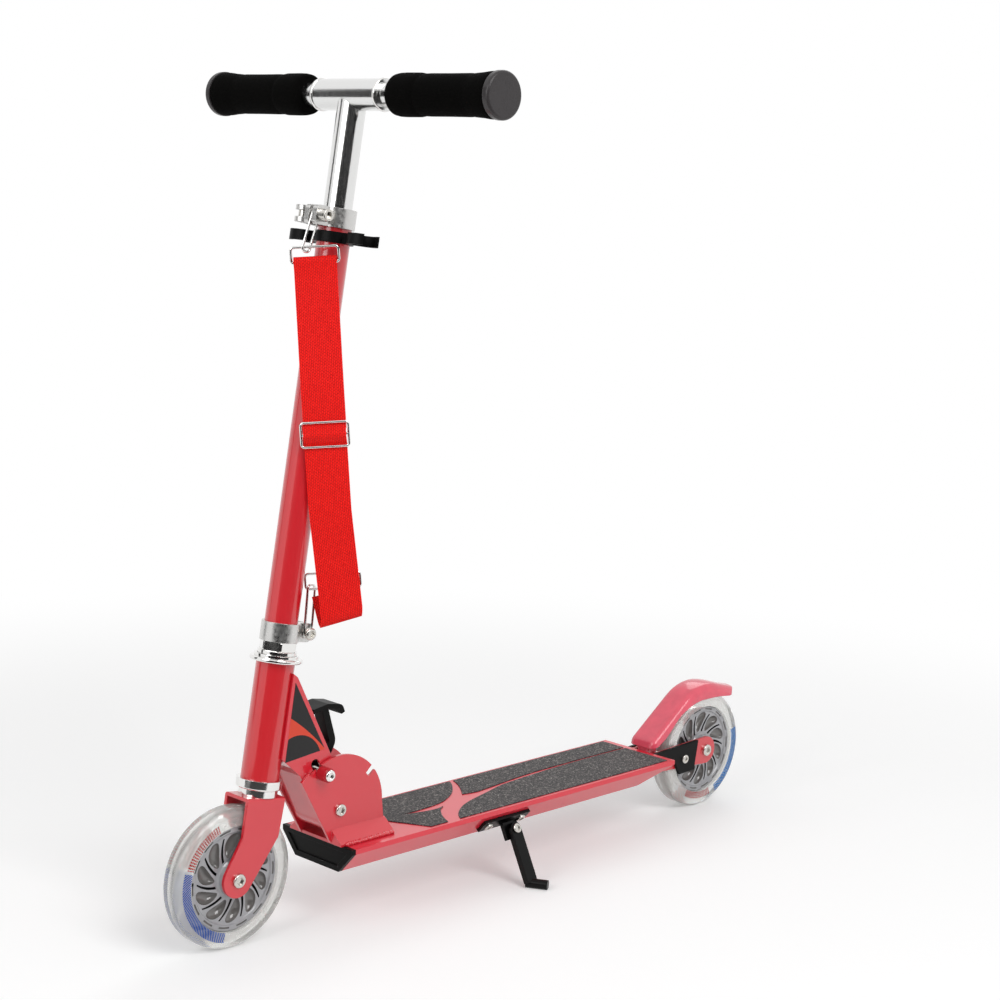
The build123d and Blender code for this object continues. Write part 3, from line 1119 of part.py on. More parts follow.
PARTS = {
    "deck_extrusion": deck_extrusion,
    "grip_tape": grip_tape,
    "nose_cap": nose_cap,
    "deck_screws": deck_screws,
    "hinge_bracket": hinge_bracket,
    "pivot_bolt": pivot_bolt,
    "rear_dropouts": rear_dropouts,
    "rear_side_covers": rear_side_covers,
    "cover_screws": cover_screws,
    "brake_pin": brake_pin,
    "brake_spring": brake_spring,
    "kickstand_bracket": kickstand_bracket,
    "kickstand_bolts": kickstand_bolts,
    "kickstand_leg": kickstand_leg,
    "brake_fender": brake_fender,
    "head_tube": head_tube,
    "neck_box": neck_box,
    "pivot_sleeve": pivot_sleeve,
    "headset_lower_cup": headset_lower_cup,
    "headset_upper_cup": headset_upper_cup,
    "headset_balls": headset_balls,
    "lock_spring": lock_spring,
    "lock_rod": lock_rod,
    "lock_sleeves": lock_sleeves,
    "lock_bolts": lock_bolts,
    "lock_lever": lock_lever,
    "fork": fork,
    "steerer_tube": steerer_tube,
    "headset_races": headset_races,
    "headset_nut": headset_nut,
    "lower_clamp": lower_clamp,
    "lower_clamp_bolt": lower_clamp_bolt,
    "steering_tube": steering_tube,
    "quick_release_clamp": quick_release_clamp,
    "quick_release_bolt": quick_release_bolt,
    "quick_release_lever": quick_release_lever,
    "grip_holder_clip": grip_holder_clip,
    "strap": strap,
    "strap_hooks": strap_hooks,
    "strap_slider": strap_slider,
    "t_tube": t_tube,
    "t_tube_plug": t_tube_plug,
    "t_sleeve": t_sleeve,
    "shock_cord": shock_cord,
    "front_tyre": lambda: place_wheel(tyre(), FRONT_AXLE_X),
    "front_wheel_core": lambda: place_wheel(wheel_core(), FRONT_AXLE_X),
    "front_bearings": lambda: place_wheel(wheel_bearings(), FRONT_AXLE_X),
    "front_axle": lambda: place_wheel(axle(FORK_OUTER), FRONT_AXLE_X),
    "rear_tyre": lambda: place_wheel(tyre(), REAR_AXLE_X),
    "rear_wheel_core": lambda: place_wheel(wheel_core(), REAR_AXLE_X),
    "rear_bearings": lambda: place_wheel(wheel_bearings(), REAR_AXLE_X),
    "rear_axle": lambda: place_wheel(axle(DROPOUT_OUTER), REAR_AXLE_X),
    "left_arm": lambda: arm(1),
    "left_grip": lambda: foam_grip(1),
    "left_end_cap": lambda: end_cap(1),
    "left_button": lambda: snap_button(1),
    "right_arm": lambda: arm(-1),
    "right_grip": lambda: foam_grip(-1),
    "right_end_cap": lambda: end_cap(-1),
    "right_button": lambda: snap_button(-1),
}

os.makedirs("parts", exist_ok=True)
for name, make in PARTS.items():
    export_step(make(), f"parts/{name}.step")
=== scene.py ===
import bpy
import math
from mathutils import Matrix, Vector


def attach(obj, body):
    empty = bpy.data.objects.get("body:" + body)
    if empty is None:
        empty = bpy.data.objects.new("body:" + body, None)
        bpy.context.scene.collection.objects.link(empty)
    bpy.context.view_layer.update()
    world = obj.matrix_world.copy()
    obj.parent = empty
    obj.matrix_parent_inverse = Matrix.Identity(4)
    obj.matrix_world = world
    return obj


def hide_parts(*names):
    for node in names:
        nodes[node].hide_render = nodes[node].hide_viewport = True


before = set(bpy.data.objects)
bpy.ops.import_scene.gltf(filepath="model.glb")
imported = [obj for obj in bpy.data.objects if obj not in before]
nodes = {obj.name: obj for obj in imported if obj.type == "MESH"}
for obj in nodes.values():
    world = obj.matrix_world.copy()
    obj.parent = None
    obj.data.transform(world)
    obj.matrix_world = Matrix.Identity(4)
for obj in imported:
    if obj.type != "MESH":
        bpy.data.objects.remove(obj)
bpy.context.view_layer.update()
mm = 0.001
print("frame loaded,", len(nodes), "nodes")


# small tools

def linear(code):
    # sRGB hex to the linear colour that the shader wants
    parts = [int(code[i:i + 2], 16) / 255 for i in (1, 3, 5)]
    return [p / 12.92 if p <= 0.04045 else ((p + 0.055) / 1.055) ** 2.4 for p in parts] + [1.0]


def plug(tree, node, wires):
    # each socket takes a value or another node's output
    for socket, value in wires.items():
        if isinstance(value, bpy.types.NodeSocket):
            tree.links.new(value, node.inputs[socket])
        else:
            node.inputs[socket].default_value = value


def addNode(tree, kind, wires=None, **settings):
    # settings are the node's own options, wires go to its sockets
    made = tree.nodes.new("ShaderNode" + kind)
    for name, value in settings.items():
        setattr(made, name, value)
    plug(tree, made, wires or {})
    return made


def newMaterial(name, **sockets):
    made = bpy.data.materials.new(name)
    made.use_nodes = True
    shader = made.node_tree.nodes["Principled BSDF"]
    plug(made.node_tree, shader, {socket.replace("_", " "): value for socket, value in sockets.items()})
    return made, made.node_tree, shader


def finish(obj, material):
    # every slot of a piece takes the one finish
    if not obj.material_slots:
        obj.data.materials.append(material)
    for slot in obj.material_slots:
        slot.material = material


def only(obj):
    if bpy.context.object and bpy.context.object.mode != "OBJECT":
        bpy.ops.object.mode_set(mode="OBJECT")
    bpy.ops.object.select_all(action="DESELECT")
    obj.select_set(True)
    bpy.context.view_layer.objects.active = obj


def settle(obj, name):
    # the piece's place goes into its mesh
    only(obj)
    obj.name = name
    bpy.ops.object.transform_apply(location=True, rotation=True, scale=True)


def applyAll(obj):
    only(obj)
    for modifier in list(obj.modifiers):
        bpy.ops.object.modifier_apply(modifier=modifier.name)


def boolean(obj, tool, how):
    made = obj.modifiers.new(how.lower(), "BOOLEAN")
    made.operation = how
    made.solver = "EXACT"
    made.material_mode = "TRANSFER"
    made.object = tool
    applyAll(obj)
    bpy.data.objects.remove(tool, do_unlink=True)


def smooth(obj, angle):
    only(obj)
    bpy.ops.object.shade_smooth_by_angle(angle=math.radians(angle))


def editAll(obj):
    # edit mode with the whole mesh selected
    only(obj)
    bpy.ops.object.mode_set(mode="EDIT")
    bpy.ops.mesh.select_all(action="SELECT")


def merge(gap):
    # in edit mode: corners closer than the gap become one
    bpy.ops.mesh.select_all(action="SELECT")
    bpy.ops.mesh.remove_doubles(threshold=gap)


def cutOff(point, outward):
    # in edit mode: what lies beyond the plane goes, and the cut is filled
    bpy.ops.mesh.select_all(action="SELECT")
    bpy.ops.mesh.bisect(plane_co=point, plane_no=outward, use_fill=True, clear_outer=True)


def faceOut():
    # in edit mode: all faces are turned outwards, then back to object mode
    bpy.ops.mesh.select_all(action="SELECT")
    bpy.ops.mesh.normals_make_consistent(inside=False)
    bpy.ops.object.mode_set(mode="OBJECT")


def drawn(name, points, edges, faces):
    # a new object from a given outline, to be spun or extruded
    mesh = bpy.data.meshes.new(name)
    mesh.from_pydata(points, edges, faces)
    obj = bpy.data.objects.new(name, mesh)
    bpy.context.collection.objects.link(obj)
    return obj


def lathe(name, outline, side=1, steps=72):
    # closed outline of (along Y, radius) in mm, spun about the Y axis through the origin
    points = [(radius * mm, side * y * mm, 0) for y, radius in outline]
    obj = drawn(name, points, [(i, i + 1) for i in range(len(points) - 1)], [])
    editAll(obj)
    bpy.ops.mesh.spin(steps=steps, angle=math.tau, center=(0, 0, 0), axis=(0, 1, 0))
    merge(0.001 * mm)
    faceOut()
    return obj


def slab(name, outline, low, high):
    # flat outline of (x, y), thickened between two heights
    obj = drawn(name, [(x, y, low) for x, y in outline], [], [list(range(len(outline)))])
    editAll(obj)
    bpy.ops.mesh.extrude_region_move(TRANSFORM_OT_translate={"value": (0, 0, high - low)})
    faceOut()
    return obj


def copies(obj, moves):
    # the one shape repeated with its own mesh at each move, joined to a single object
    made = []
    for move in moves:
        twin = obj.copy()
        twin.data = obj.data.copy()
        twin.data.transform(move)
        bpy.context.collection.objects.link(twin)
        made.append(twin)
    bpy.data.objects.remove(obj, do_unlink=True)
    only(made[0])
    for twin in made:
        twin.select_set(True)
    bpy.ops.object.join()
    return bpy.context.object


def copyOf(node, name):
    # a loose copy of a solid's mesh, its split vertices merged and its stored normals dropped
    source = nodes[node]
    obj = source.copy()
    obj.data = source.data.copy()
    for key in list(obj.keys()):
        del obj[key]
    obj.parent = None
    bpy.context.collection.objects.link(obj)
    settle(obj, name)
    bpy.ops.mesh.customdata_custom_splitnormals_clear()
    editAll(obj)
    merge(0.004 * mm)
    bpy.ops.object.mode_set(mode="OBJECT")
    return obj


def smoothPath(points, steps):
    # Catmull-Rom curve through the given points
    pts = [Vector(p) for p in points]
    out = []
    for i in range(len(pts) - 1):
        a, b, c, d = pts[max(i - 1, 0)], pts[i], pts[i + 1], pts[min(i + 2, len(pts) - 1)]
        for k in range(steps):
            t = k / steps
            square = (2 * a - 5 * b + 4 * c - d) * t * t
            cube = (3 * b - a - 3 * c + d) * t ** 3
            out.append(0.5 * (2 * b + (c - a) * t + square + cube))
    out.append(pts[-1])
    return out


# the steering axis leans back; the wheels stand the same way before and behind the origin
column = {"rake": 8.6, "axisX": 284 * mm, "axleZ": 60 * mm, "barUp": 648 * mm}
wheelX = {"front": 305 * mm, "rear": -305 * mm}
rake = math.radians(column["rake"])
columnUp = Vector((-math.sin(rake), 0, math.cos(rake)))
barCentre = Vector((column["axisX"], 0, column["axleZ"])) + columnUp * column["barUp"]


# materials

firstColour, secondColour, mixedColour = 6, 7, 2      # a Mix node's colour sockets, by number


def paintFinish(name, colour, deeper, coat=1.0):
    # baked gloss powder coat over metal: deep colour, a clear skin and a faint orange peel
    patch, peel, edgeRound = 35 * mm, 1.8 * mm, 0.7 * mm
    made, tree, shader = newMaterial(
        name, Roughness=0.38, Coat_Weight=coat, Coat_Roughness=0.05, Coat_IOR=1.55)
    place = addNode(tree, "TexCoord").outputs["Object"]
    cloud = addNode(tree, "TexNoise", {"Vector": place, "Scale": 1 / patch, "Detail": 3.0})
    shades = {"Factor": cloud.outputs["Fac"], firstColour: linear(colour), secondColour: linear(deeper)}
    paint = addNode(tree, "Mix", shades, data_type="RGBA").outputs[mixedColour]
    ray = addNode(tree, "LightPath")
    calm = addNode(tree, "Math", {0: ray.outputs["Is Diffuse Ray"], 1: 0.6}, operation="MULTIPLY")
    muted = {"Factor": calm.outputs[0], firstColour: paint, secondColour: linear("#8a6f70")}
    dull = addNode(tree, "Mix", muted, data_type="RGBA")      # less red thrown on the white floor
    skin = addNode(tree, "TexNoise", {"Vector": place, "Scale": 1 / peel, "Detail": 1.0})
    edge = addNode(tree, "Bevel", {"Radius": edgeRound}, samples=4)
    bump = addNode(tree, "Bump", {"Height": skin.outputs["Fac"], "Normal": edge.outputs["Normal"],
                                  "Strength": 0.06, "Distance": 0.05 * mm}).outputs["Normal"]
    plug(tree, shader, {"Base Color": dull.outputs[mixedColour], "Normal": bump, "Coat Normal": bump})
    return made


def metalFinish(name, colour, low, high, grain, stretch=(1, 1, 1)):
    # plated or bare metal: smudges change its roughness, tool marks run along its length
    edgeRound = 0.5 * mm
    made, tree, shader = newMaterial(name, Metallic=1.0, Base_Color=linear(colour))
    place = addNode(tree, "TexCoord").outputs["Object"]
    turn = addNode(tree, "Mapping", {"Vector": place, "Rotation": (0, rake, 0), "Scale": stretch})
    turned = turn.outputs["Vector"]
    marks = addNode(tree, "TexNoise", {"Vector": turned, "Scale": 1 / (grain * mm), "Detail": 4.0})
    level = addNode(tree, "MapRange", {"Value": marks.outputs["Fac"], "From Min": 0.3, "From Max": 0.7,
                                       "To Min": low, "To Max": high})
    edge = addNode(tree, "Bevel", {"Radius": edgeRound}, samples=4)
    bump = addNode(tree, "Bump", {"Height": marks.outputs["Fac"], "Normal": edge.outputs["Normal"],
                                  "Strength": 0.04, "Distance": 0.05 * mm})
    plug(tree, shader, {"Roughness": level.outputs["Result"], "Normal": bump.outputs["Normal"]})
    return made


def mouldedFinish(name, colour, roughness, grain, depth, edgeRound=0.6, shine=0.3):
    # moulded plastic or enamel: a slightly uneven shade, tool texture in the bump, softer edges
    patch, low, high = 12 * mm, 0.85, 1.15
    made, tree, shader = newMaterial(name, Specular_IOR_Level=shine)
    place = addNode(tree, "TexCoord").outputs["Object"]
    cloud = addNode(tree, "TexNoise", {"Vector": place, "Scale": 1 / patch, "Detail": 2.0}).outputs["Fac"]
    level = addNode(tree, "MapRange", {"Value": cloud, "To Min": low, "To Max": high})
    shade = addNode(tree, "HueSaturation", {"Color": linear(colour), "Value": level.outputs["Result"]})
    gloss = addNode(tree, "MapRange", {"Value": cloud, "To Min": roughness * low, "To Max": roughness * high})
    grit = addNode(tree, "TexNoise", {"Vector": place, "Scale": 1 / (grain * mm), "Detail": 2.0})
    edge = addNode(tree, "Bevel", {"Radius": edgeRound * mm}, samples=4)
    bump = addNode(tree, "Bump", {"Height": grit.outputs["Fac"], "Normal": edge.outputs["Normal"],
                                  "Strength": depth, "Distance": 0.1 * mm})
    plug(tree, shader, {"Base Color": shade.outputs["Color"], "Roughness": gloss.outputs["Result"],
                        "Normal": bump.outputs["Normal"]})
    return made


def foamFinish():
    # closed-cell rubber foam: black, dull, with fine open pores, drawn coarser than real so that they show
    pore = 0.9 * mm
    made, tree, shader = newMaterial("nitrile foam, sliced", Roughness=0.95, Specular_IOR_Level=0.05)
    place = addNode(tree, "TexCoord").outputs["Object"]
    pores = addNode(tree, "TexVoronoi", {"Vector": place, "Scale": 1 / pore}).outputs["Distance"]
    # the colour follows the pores' depth, darkest at their bottoms: painted shade
    shade = addNode(tree, "ValToRGB", {"Fac": pores})
    shade.color_ramp.elements[0].color = linear("#010101")
    shade.color_ramp.elements[1].color = linear("#0b0a09")
    bump = addNode(tree, "Bump", {"Height": pores, "Strength": 0.5, "Distance": 0.3 * mm})
    plug(tree, shader, {"Base Color": shade.outputs["Color"], "Normal": bump.outputs["Normal"]})
    return made


def tapeFinish():
    # silicon carbide grit on a dark film: grey specks, drawn coarser than real so that they show
    grain, dust = 1.3 * mm, 0.8 * mm
    made, tree, shader = newMaterial("silicon carbide grip tape", IOR=1.5)
    place = addNode(tree, "TexCoord").outputs["Object"]
    grains = addNode(tree, "TexVoronoi", {"Vector": place, "Scale": 1 / grain})
    fine = addNode(tree, "TexNoise", {"Vector": place, "Scale": 1 / dust, "Detail": 3.0})
    shade = addNode(tree, "ValToRGB", {"Fac": grains.outputs["Color"]})
    stops = shade.color_ramp.elements
    stops[0].color = linear("#1d1b1c")
    stops[1].color = linear("#a39d99")
    for spot, colour in [(0.5, "#343132"), (0.75, "#5d5856")]:
        stops.new(spot).color = linear(colour)
    gloss = addNode(tree, "MapRange", {"Value": fine.outputs["Fac"], "To Min": 0.55, "To Max": 0.95})
    height = grains.outputs["Distance"]
    bump = addNode(tree, "Bump", {"Height": height, "Strength": 0.8, "Distance": 0.4 * mm})
    plug(tree, shader, {"Base Color": shade.outputs["Color"], "Roughness": gloss.outputs["Result"],
                        "Normal": bump.outputs["Normal"]})
    return made


def webbingFinish():
    # woven polypropylene: staggered picks, raised in the middle; the UV map is in metres on the flat strap
    pick = 2.4 * mm
    made, tree, shader = newMaterial("woven polypropylene webbing", Roughness=0.55, Specular_IOR_Level=0.22)
    place = addNode(tree, "UVMap", uv_map="flat")
    size = addNode(tree, "Mapping", {"Vector": place.outputs["UV"], "Scale": (1 / pick, 1 / pick, 1)})
    threads = {"Scale": 1.0, "Mortar Size": 0.1, "Mortar Smooth": 1.0, "Brick Width": 1.0, "Row Height": 0.62}
    # the low gaps between the picks take a darker red: painted shade
    colours = {"Color1": linear("#fd170e"), "Color2": linear("#f00f08"), "Mortar": linear("#980302")}
    weave = addNode(tree, "TexBrick", {"Vector": size.outputs["Vector"], **threads, **colours}, offset=0.5)
    raised = addNode(tree, "Math", {0: 1.0, 1: weave.outputs["Fac"]}, operation="SUBTRACT")
    bump = addNode(tree, "Bump", {"Height": raised.outputs[0], "Strength": 0.75, "Distance": 0.35 * mm})
    plug(tree, shader, {"Base Color": weave.outputs["Color"], "Normal": bump.outputs["Normal"]})
    return made


def between(tree, value, low, high):
    # 1 where value lies between low and high
    above = addNode(tree, "Math", {0: value, 1: low}, operation="GREATER_THAN")
    under = addNode(tree, "Math", {0: value, 1: high}, operation="LESS_THAN")
    return addNode(tree, "Math", {0: above.outputs[0], 1: under.outputs[0]}, operation="MULTIPLY").outputs[0]


def wheelAngles(tree, place, centreX):
    # radius and angle round a wheel's axle
    centre = (-centreX, 0, -column["axleZ"])
    move = addNode(tree, "Mapping", {"Vector": place, "Location": centre})
    axes = addNode(tree, "SeparateXYZ", {"Vector": move.outputs["Vector"]})
    flat = addNode(tree, "CombineXYZ", {"X": axes.outputs["X"], "Y": axes.outputs["Z"]})
    radius = addNode(tree, "VectorMath", {0: flat.outputs["Vector"]}, operation="LENGTH")
    angle = addNode(tree, "Math", {0: axes.outputs["Z"], 1: axes.outputs["X"]}, operation="ARCTAN2")
    return radius.outputs["Value"], angle.outputs[0]


def bandMarks(tree, radius, angle, band):
    # 1 on a band's printed marks: an arc of the tyre's side, cut into rows by radius and into dashes by angle
    rowFill, dashFill = (0.1, 0.9), (0.1, 0.78)      # where ink lies within a row and within a dash
    turn = addNode(tree, "Math", {0: angle, 1: -math.radians(band["from"])}, operation="ADD")
    arc = addNode(tree, "Math", {0: turn.outputs[0], 1: math.tau}, operation="FLOORED_MODULO")
    wide = between(tree, arc.outputs[0], 0.0, math.radians(band["to"] - band["from"]))
    deep = between(tree, radius, band["inner"] * mm, band["outer"] * mm)
    area = addNode(tree, "Math", {0: wide, 1: deep}, operation="MULTIPLY")
    slide = addNode(tree, "Math", {0: radius, 1: band["slant"] / mm}, operation="MULTIPLY")
    slanted = {0: angle, 1: band["count"] / math.tau, 2: slide.outputs[0]}
    count = addNode(tree, "Math", slanted, operation="MULTIPLY_ADD")
    dash = addNode(tree, "Math", {0: count.outputs[0]}, operation="FRACT")
    lines = addNode(tree, "Math", {0: radius, 1: 1 / (band["pitch"] * mm)}, operation="MULTIPLY")
    row = addNode(tree, "Math", {0: lines.outputs[0]}, operation="FRACT")
    inked = {0: between(tree, row.outputs[0], *rowFill), 1: between(tree, dash.outputs[0], *dashFill)}
    marks = addNode(tree, "Math", inked, operation="MULTIPLY")
    return addNode(tree, "Math", {0: area.outputs[0], 1: marks.outputs[0]}, operation="MULTIPLY").outputs[0]


def tyreFinish(name, centreX, bands):
    # cast clear polyurethane: milky and glossy, with printed bands of dots or slanted dashes deep in its side
    patch = 18 * mm
    made, tree, shader = newMaterial(name, Roughness=0.1, IOR=1.4, Coat_Roughness=0.04)
    place = addNode(tree, "TexCoord").outputs["Object"]
    radius, angle = wheelAngles(tree, place, centreX)
    cloud = addNode(tree, "TexNoise", {"Vector": place, "Scale": 1 / patch, "Detail": 2.0})
    body = addNode(tree, "ValToRGB", {"Fac": cloud.outputs["Fac"]})
    body.color_ramp.elements[0].color = linear("#e6e6e3")
    body.color_ramp.elements[1].color = linear("#f6f6f3")
    colour = body.outputs["Color"]
    printed = 0.0
    for band in bands:
        marks = bandMarks(tree, radius, angle, band)
        inks = {"Factor": marks, firstColour: colour, secondColour: linear(band["ink"])}
        colour = addNode(tree, "Mix", inks, data_type="RGBA").outputs[mixedColour]
        printed = addNode(tree, "Math", {0: printed, 1: marks}, operation="MAXIMUM").outputs[0]
    through = addNode(tree, "MapRange", {"Value": printed, "To Min": 0.72, "To Max": 0.0})
    gloss = addNode(tree, "MapRange", {"Value": printed, "To Min": 0.4, "To Max": 0.03}).outputs["Result"]
    plug(tree, shader, {"Base Color": colour, "Transmission Weight": through.outputs["Result"],
                        "Specular IOR Level": gloss, "Coat Weight": gloss})
    return made


def coreFinish(name, low, high, roughness):
    # translucent grey polypropylene, moulded: soft cloudy grey with a silky skin
    patch, edgeRound = 9 * mm, 0.9 * mm
    made, tree, shader = newMaterial(name, Roughness=roughness, IOR=1.52, Transmission_Weight=0.08,
                                     Coat_Weight=0.7, Coat_Roughness=0.05)
    place = addNode(tree, "TexCoord").outputs["Object"]
    cloud = addNode(tree, "TexNoise", {"Vector": place, "Scale": 1 / patch, "Detail": 2.0})
    body = addNode(tree, "ValToRGB", {"Fac": cloud.outputs["Fac"]})
    body.color_ramp.elements[0].color = linear(low)
    body.color_ramp.elements[1].color = linear(high)
    edge = addNode(tree, "Bevel", {"Radius": edgeRound}, samples=4)
    plug(tree, shader, {"Base Color": body.outputs["Color"], "Normal": edge.outputs["Normal"]})
    return made


def vinylFinish(rings):
    # printed vinyl: charcoal with a warm orange swoosh where two rings overlap, a clear satin skin
    patch = 2 * mm
    made, tree, shader = newMaterial("printed vinyl, charcoal and orange", Roughness=0.35,
                                     Specular_IOR_Level=0.3, Coat_Weight=0.15, Coat_Roughness=0.12)
    place = addNode(tree, "TexCoord").outputs["Object"]
    cloud = addNode(tree, "TexNoise", {"Vector": place, "Scale": 1 / patch, "Detail": 2.0})
    ground = addNode(tree, "ValToRGB", {"Fac": cloud.outputs["Fac"]})
    ground.color_ramp.elements[0].color = linear("#0b0a0b")
    ground.color_ramp.elements[1].color = linear("#171517")
    swoosh = 1.0
    for ring in rings:
        centre = (-ring["x"] * mm, 0, -ring["z"] * mm)
        move = addNode(tree, "Mapping", {"Vector": place, "Location": centre, "Scale": (1, 0, 1)})
        far = addNode(tree, "VectorMath", {0: move.outputs["Vector"]}, operation="LENGTH")
        inside = between(tree, far.outputs["Value"], ring["inner"] * mm, ring["outer"] * mm)
        swoosh = addNode(tree, "Math", {0: swoosh, 1: inside}, operation="MULTIPLY").outputs[0]
    inks = {"Factor": swoosh, firstColour: ground.outputs["Color"], secondColour: linear("#d8432b")}
    band = addNode(tree, "Mix", inks, data_type="RGBA")
    plug(tree, shader, {"Base Color": band.outputs[mixedColour]})
    return made


redPaint = paintFinish("gloss powder coat, red", "#d9172c", "#d31327")
tubePaint = paintFinish("gloss powder coat, deep red", "#cf0d1e", "#c80a19")
deckPaint = paintFinish("gloss powder coat on alloy, red", "#e22138", "#dc1c32", coat=0.5)
fenderAbs = mouldedFinish(
    "glossy moulded abs, red", "#e65468", roughness=0.14, grain=4.0, depth=0.03, edgeRound=1.0, shine=0.7)
sleeveAbs = mouldedFinish("moulded abs, dark red", "#b81e2a", roughness=0.3, grain=3.0, depth=0.05)
chrome = metalFinish("bright chrome plate", "#e9e8e6", low=0.04, high=0.12, grain=14)
polishedAlloy = metalFinish(
    "polished aluminium tube", "#e3e3e2", low=0.1, high=0.22, grain=3, stretch=(6, 6, 0.25))
castAlloy = metalFinish("tumbled die-cast aluminium", "#d4d3d1", low=0.24, high=0.4, grain=2.5)
zinc = metalFinish("bright zinc plate", "#d0cdc7", low=0.16, high=0.3, grain=4)
nylon = mouldedFinish("moulded black nylon", "#030303", roughness=0.45, grain=0.8, depth=0.12, shine=0.14)
blackSteel = mouldedFinish(
    "black stove enamel on steel", "#040404", roughness=0.32, grain=1.5, depth=0.06, shine=0.18)
capPlastic = mouldedFinish(
    "moulded grey pvc", "#383536", roughness=0.28, grain=1.2, depth=0.06, edgeRound=1.0)
foam = foamFinish()
gripTape = tapeFinish()
webbing = webbingFinish()

# the tyres' printed bands: from and to in degrees up from the front, radii and pitch of the rows in mm,
# count of dashes in a whole turn, slant in dashes for each mm of radius
redDots = {"ink": "#980a06", "inner": 45.4, "outer": 52.6, "count": 132, "pitch": 1.8, "slant": 0.0}
blueDashes = {"ink": "#003f94", "inner": 45.2, "outer": 53.6, "count": 150, "pitch": 20.0, "slant": 0.35}
paleDashes = {**blueDashes, "ink": "#1c6cb2", "inner": 47, "outer": 55.5}
frontBands = [{**redDots, "from": 20, "to": 70}, {**blueDashes, "from": -78, "to": 17}]
rearBands = [{**redDots, "from": 254, "to": 300}, {**paleDashes, "from": 164, "to": 244}]
frontPu = tyreFinish("clear cast polyurethane, front", wheelX["front"], frontBands)
rearPu = tyreFinish("clear cast polyurethane, rear", wheelX["rear"], rearBands)

corePlastic = coreFinish("translucent grey polypropylene", "#96969a", "#b0b0b3", roughness=0.16)
# a darker, glossier copy of the core's grey for the dimples and the dashes: the darker grey is painted shade
# in these recesses
recessShadeGloss = coreFinish("translucent grey polypropylene, polished", "#64615f", "#84817f", roughness=0.06)
# near-black for the faces of the slits: painted shadow in them
coreShadow = mouldedFinish("near-black slit recess, painted shadow", "#0d0d0f", roughness=0.7, grain=1.0, depth=0.1)
vinylRings = [      # centre and radii in mm, seen from the side
    {"x": 373, "z": 13.7, "inner": 0, "outer": 212},
    {"x": 247.3, "z": 146.6, "inner": 27, "outer": 500},
]
vinyl = vinylFinish(vinylRings)
print("materials made")

finishes = [
    (redPaint, ["hinge_bracket", "neck_box", "fork", "rear_dropouts"]),
    (tubePaint, ["steering_tube", "head_tube"]),
    (deckPaint, ["deck_extrusion"]),
    (fenderAbs, ["brake_fender"]),
    (sleeveAbs, ["lock_sleeves"]),
    (chrome, ["headset_lower_cup", "headset_upper_cup", "headset_races", "headset_balls", "headset_nut",
              "lock_bolts", "strap_hooks", "strap_slider"]),
    (polishedAlloy, ["t_tube", "t_sleeve", "left_arm", "right_arm", "left_button", "right_button"]),
    (castAlloy, ["lower_clamp", "quick_release_clamp", "quick_release_lever"]),
    (zinc, ["deck_screws", "pivot_bolt", "cover_screws", "rear_axle", "front_axle", "brake_pin",
            "brake_spring", "kickstand_bolts", "pivot_sleeve", "lock_spring", "lock_rod", "steerer_tube",
            "lower_clamp_bolt", "quick_release_bolt", "front_bearings", "rear_bearings"]),
    (nylon, ["nose_cap", "rear_side_covers", "lock_lever", "grip_holder_clip", "t_tube_plug", "shock_cord"]),
    (blackSteel, ["kickstand_bracket", "kickstand_leg"]),
    (capPlastic, ["left_end_cap", "right_end_cap"]),
    (foam, ["left_grip", "right_grip"]),
    (gripTape, ["grip_tape"]),
    (webbing, ["strap"]),
    (frontPu, ["front_tyre"]),
    (rearPu, ["rear_tyre"]),
    (corePlastic, ["front_wheel_core", "rear_wheel_core"]),
]
for material, names in finishes:
    for name in names:
        finish(nodes[name], material)
print("finishes set on the frame")


# foam grips: a fuller inner part, two faint grooves, a flared outer end
gripShape = {"start": 54, "end": 167.9, "hole": 10.1, "grooves": (86, 143)}


def foamGrip(name, side, body, node):
    start, end, hole = (gripShape[key] for key in ("start", "end", "hole"))
    inner, outer = gripShape["grooves"]
    outline = [
        (start, hole), (start, 14.4), (start + 0.6, 15.6), (start + 2.2, 16.7), (start + 6, 17.3), (66, 17.5),
        (inner - 5, 17.4), (inner - 1.6, 16.9), (inner, 16.3), (inner + 1.6, 16.6), (inner + 8, 16.8),
        (115, 16.7), (outer - 5, 16.8), (outer, 16.4), (outer + 2, 16.9), (154, 17.5), (160, 18.2),
        (end - 2.5, 18.4), (end - 0.5, 18.0), (end, 17.0), (end, hole), (start, hole),
    ]
    obj = lathe(name, outline, side)
    obj.location = barCentre
    settle(obj, name)
    smooth(obj, angle=60)
    finish(obj, foam)
    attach(obj, body)
    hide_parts(node)


foamGrip("left_foam_grip", 1, "left_handle", "left_grip")
foamGrip("right_foam_grip", -1, "right_handle", "right_grip")
print("grips made")


# wheel cores: a rim and a hub joined by a thick disc with swept dimples and slits, dashes round the rim
coreShape = {
    "half": 8.5, "outer": 44.9, "lip": 39.4, "face": 7.0, "hub": 14.5, "hubHalf": 11.9,
    "bearing": 11.05, "seat": 4.95, "bore": 6.1, "count": 10, "sweep": 24,
    "dimple": {"at": 28.3, "long": 9.8, "wide": 9.2, "deep": 5.4, "middle": 0.66, "flare": 0.3},
    "slit": {"from": 17.8, "to": 36.6, "wide": 2.3, "deep": 3.8, "taper": 0.35},
    "dash": {"from": 41.1, "to": 42.5, "arc": 15, "deep": 0.9, "count": 14},
}


def swept(radius):
    # angle by which the swirl runs ahead at a radius, in radians
    c = coreShape
    return math.radians(c["sweep"]) * (radius - c["hub"]) / (c["lip"] - c["hub"])


def polar(radius, aside, y, turn):
    cos, sin = math.cos(turn), math.sin(turn)
    return Vector((radius * cos - aside * sin, y, radius * sin + aside * cos)) * mm


def alongRadius(limits, share):
    # share -1 is the inner end of a cut, 1 its outer end
    return (limits["from"] + limits["to"]) / 2 + (limits["to"] - limits["from"]) / 2 * share


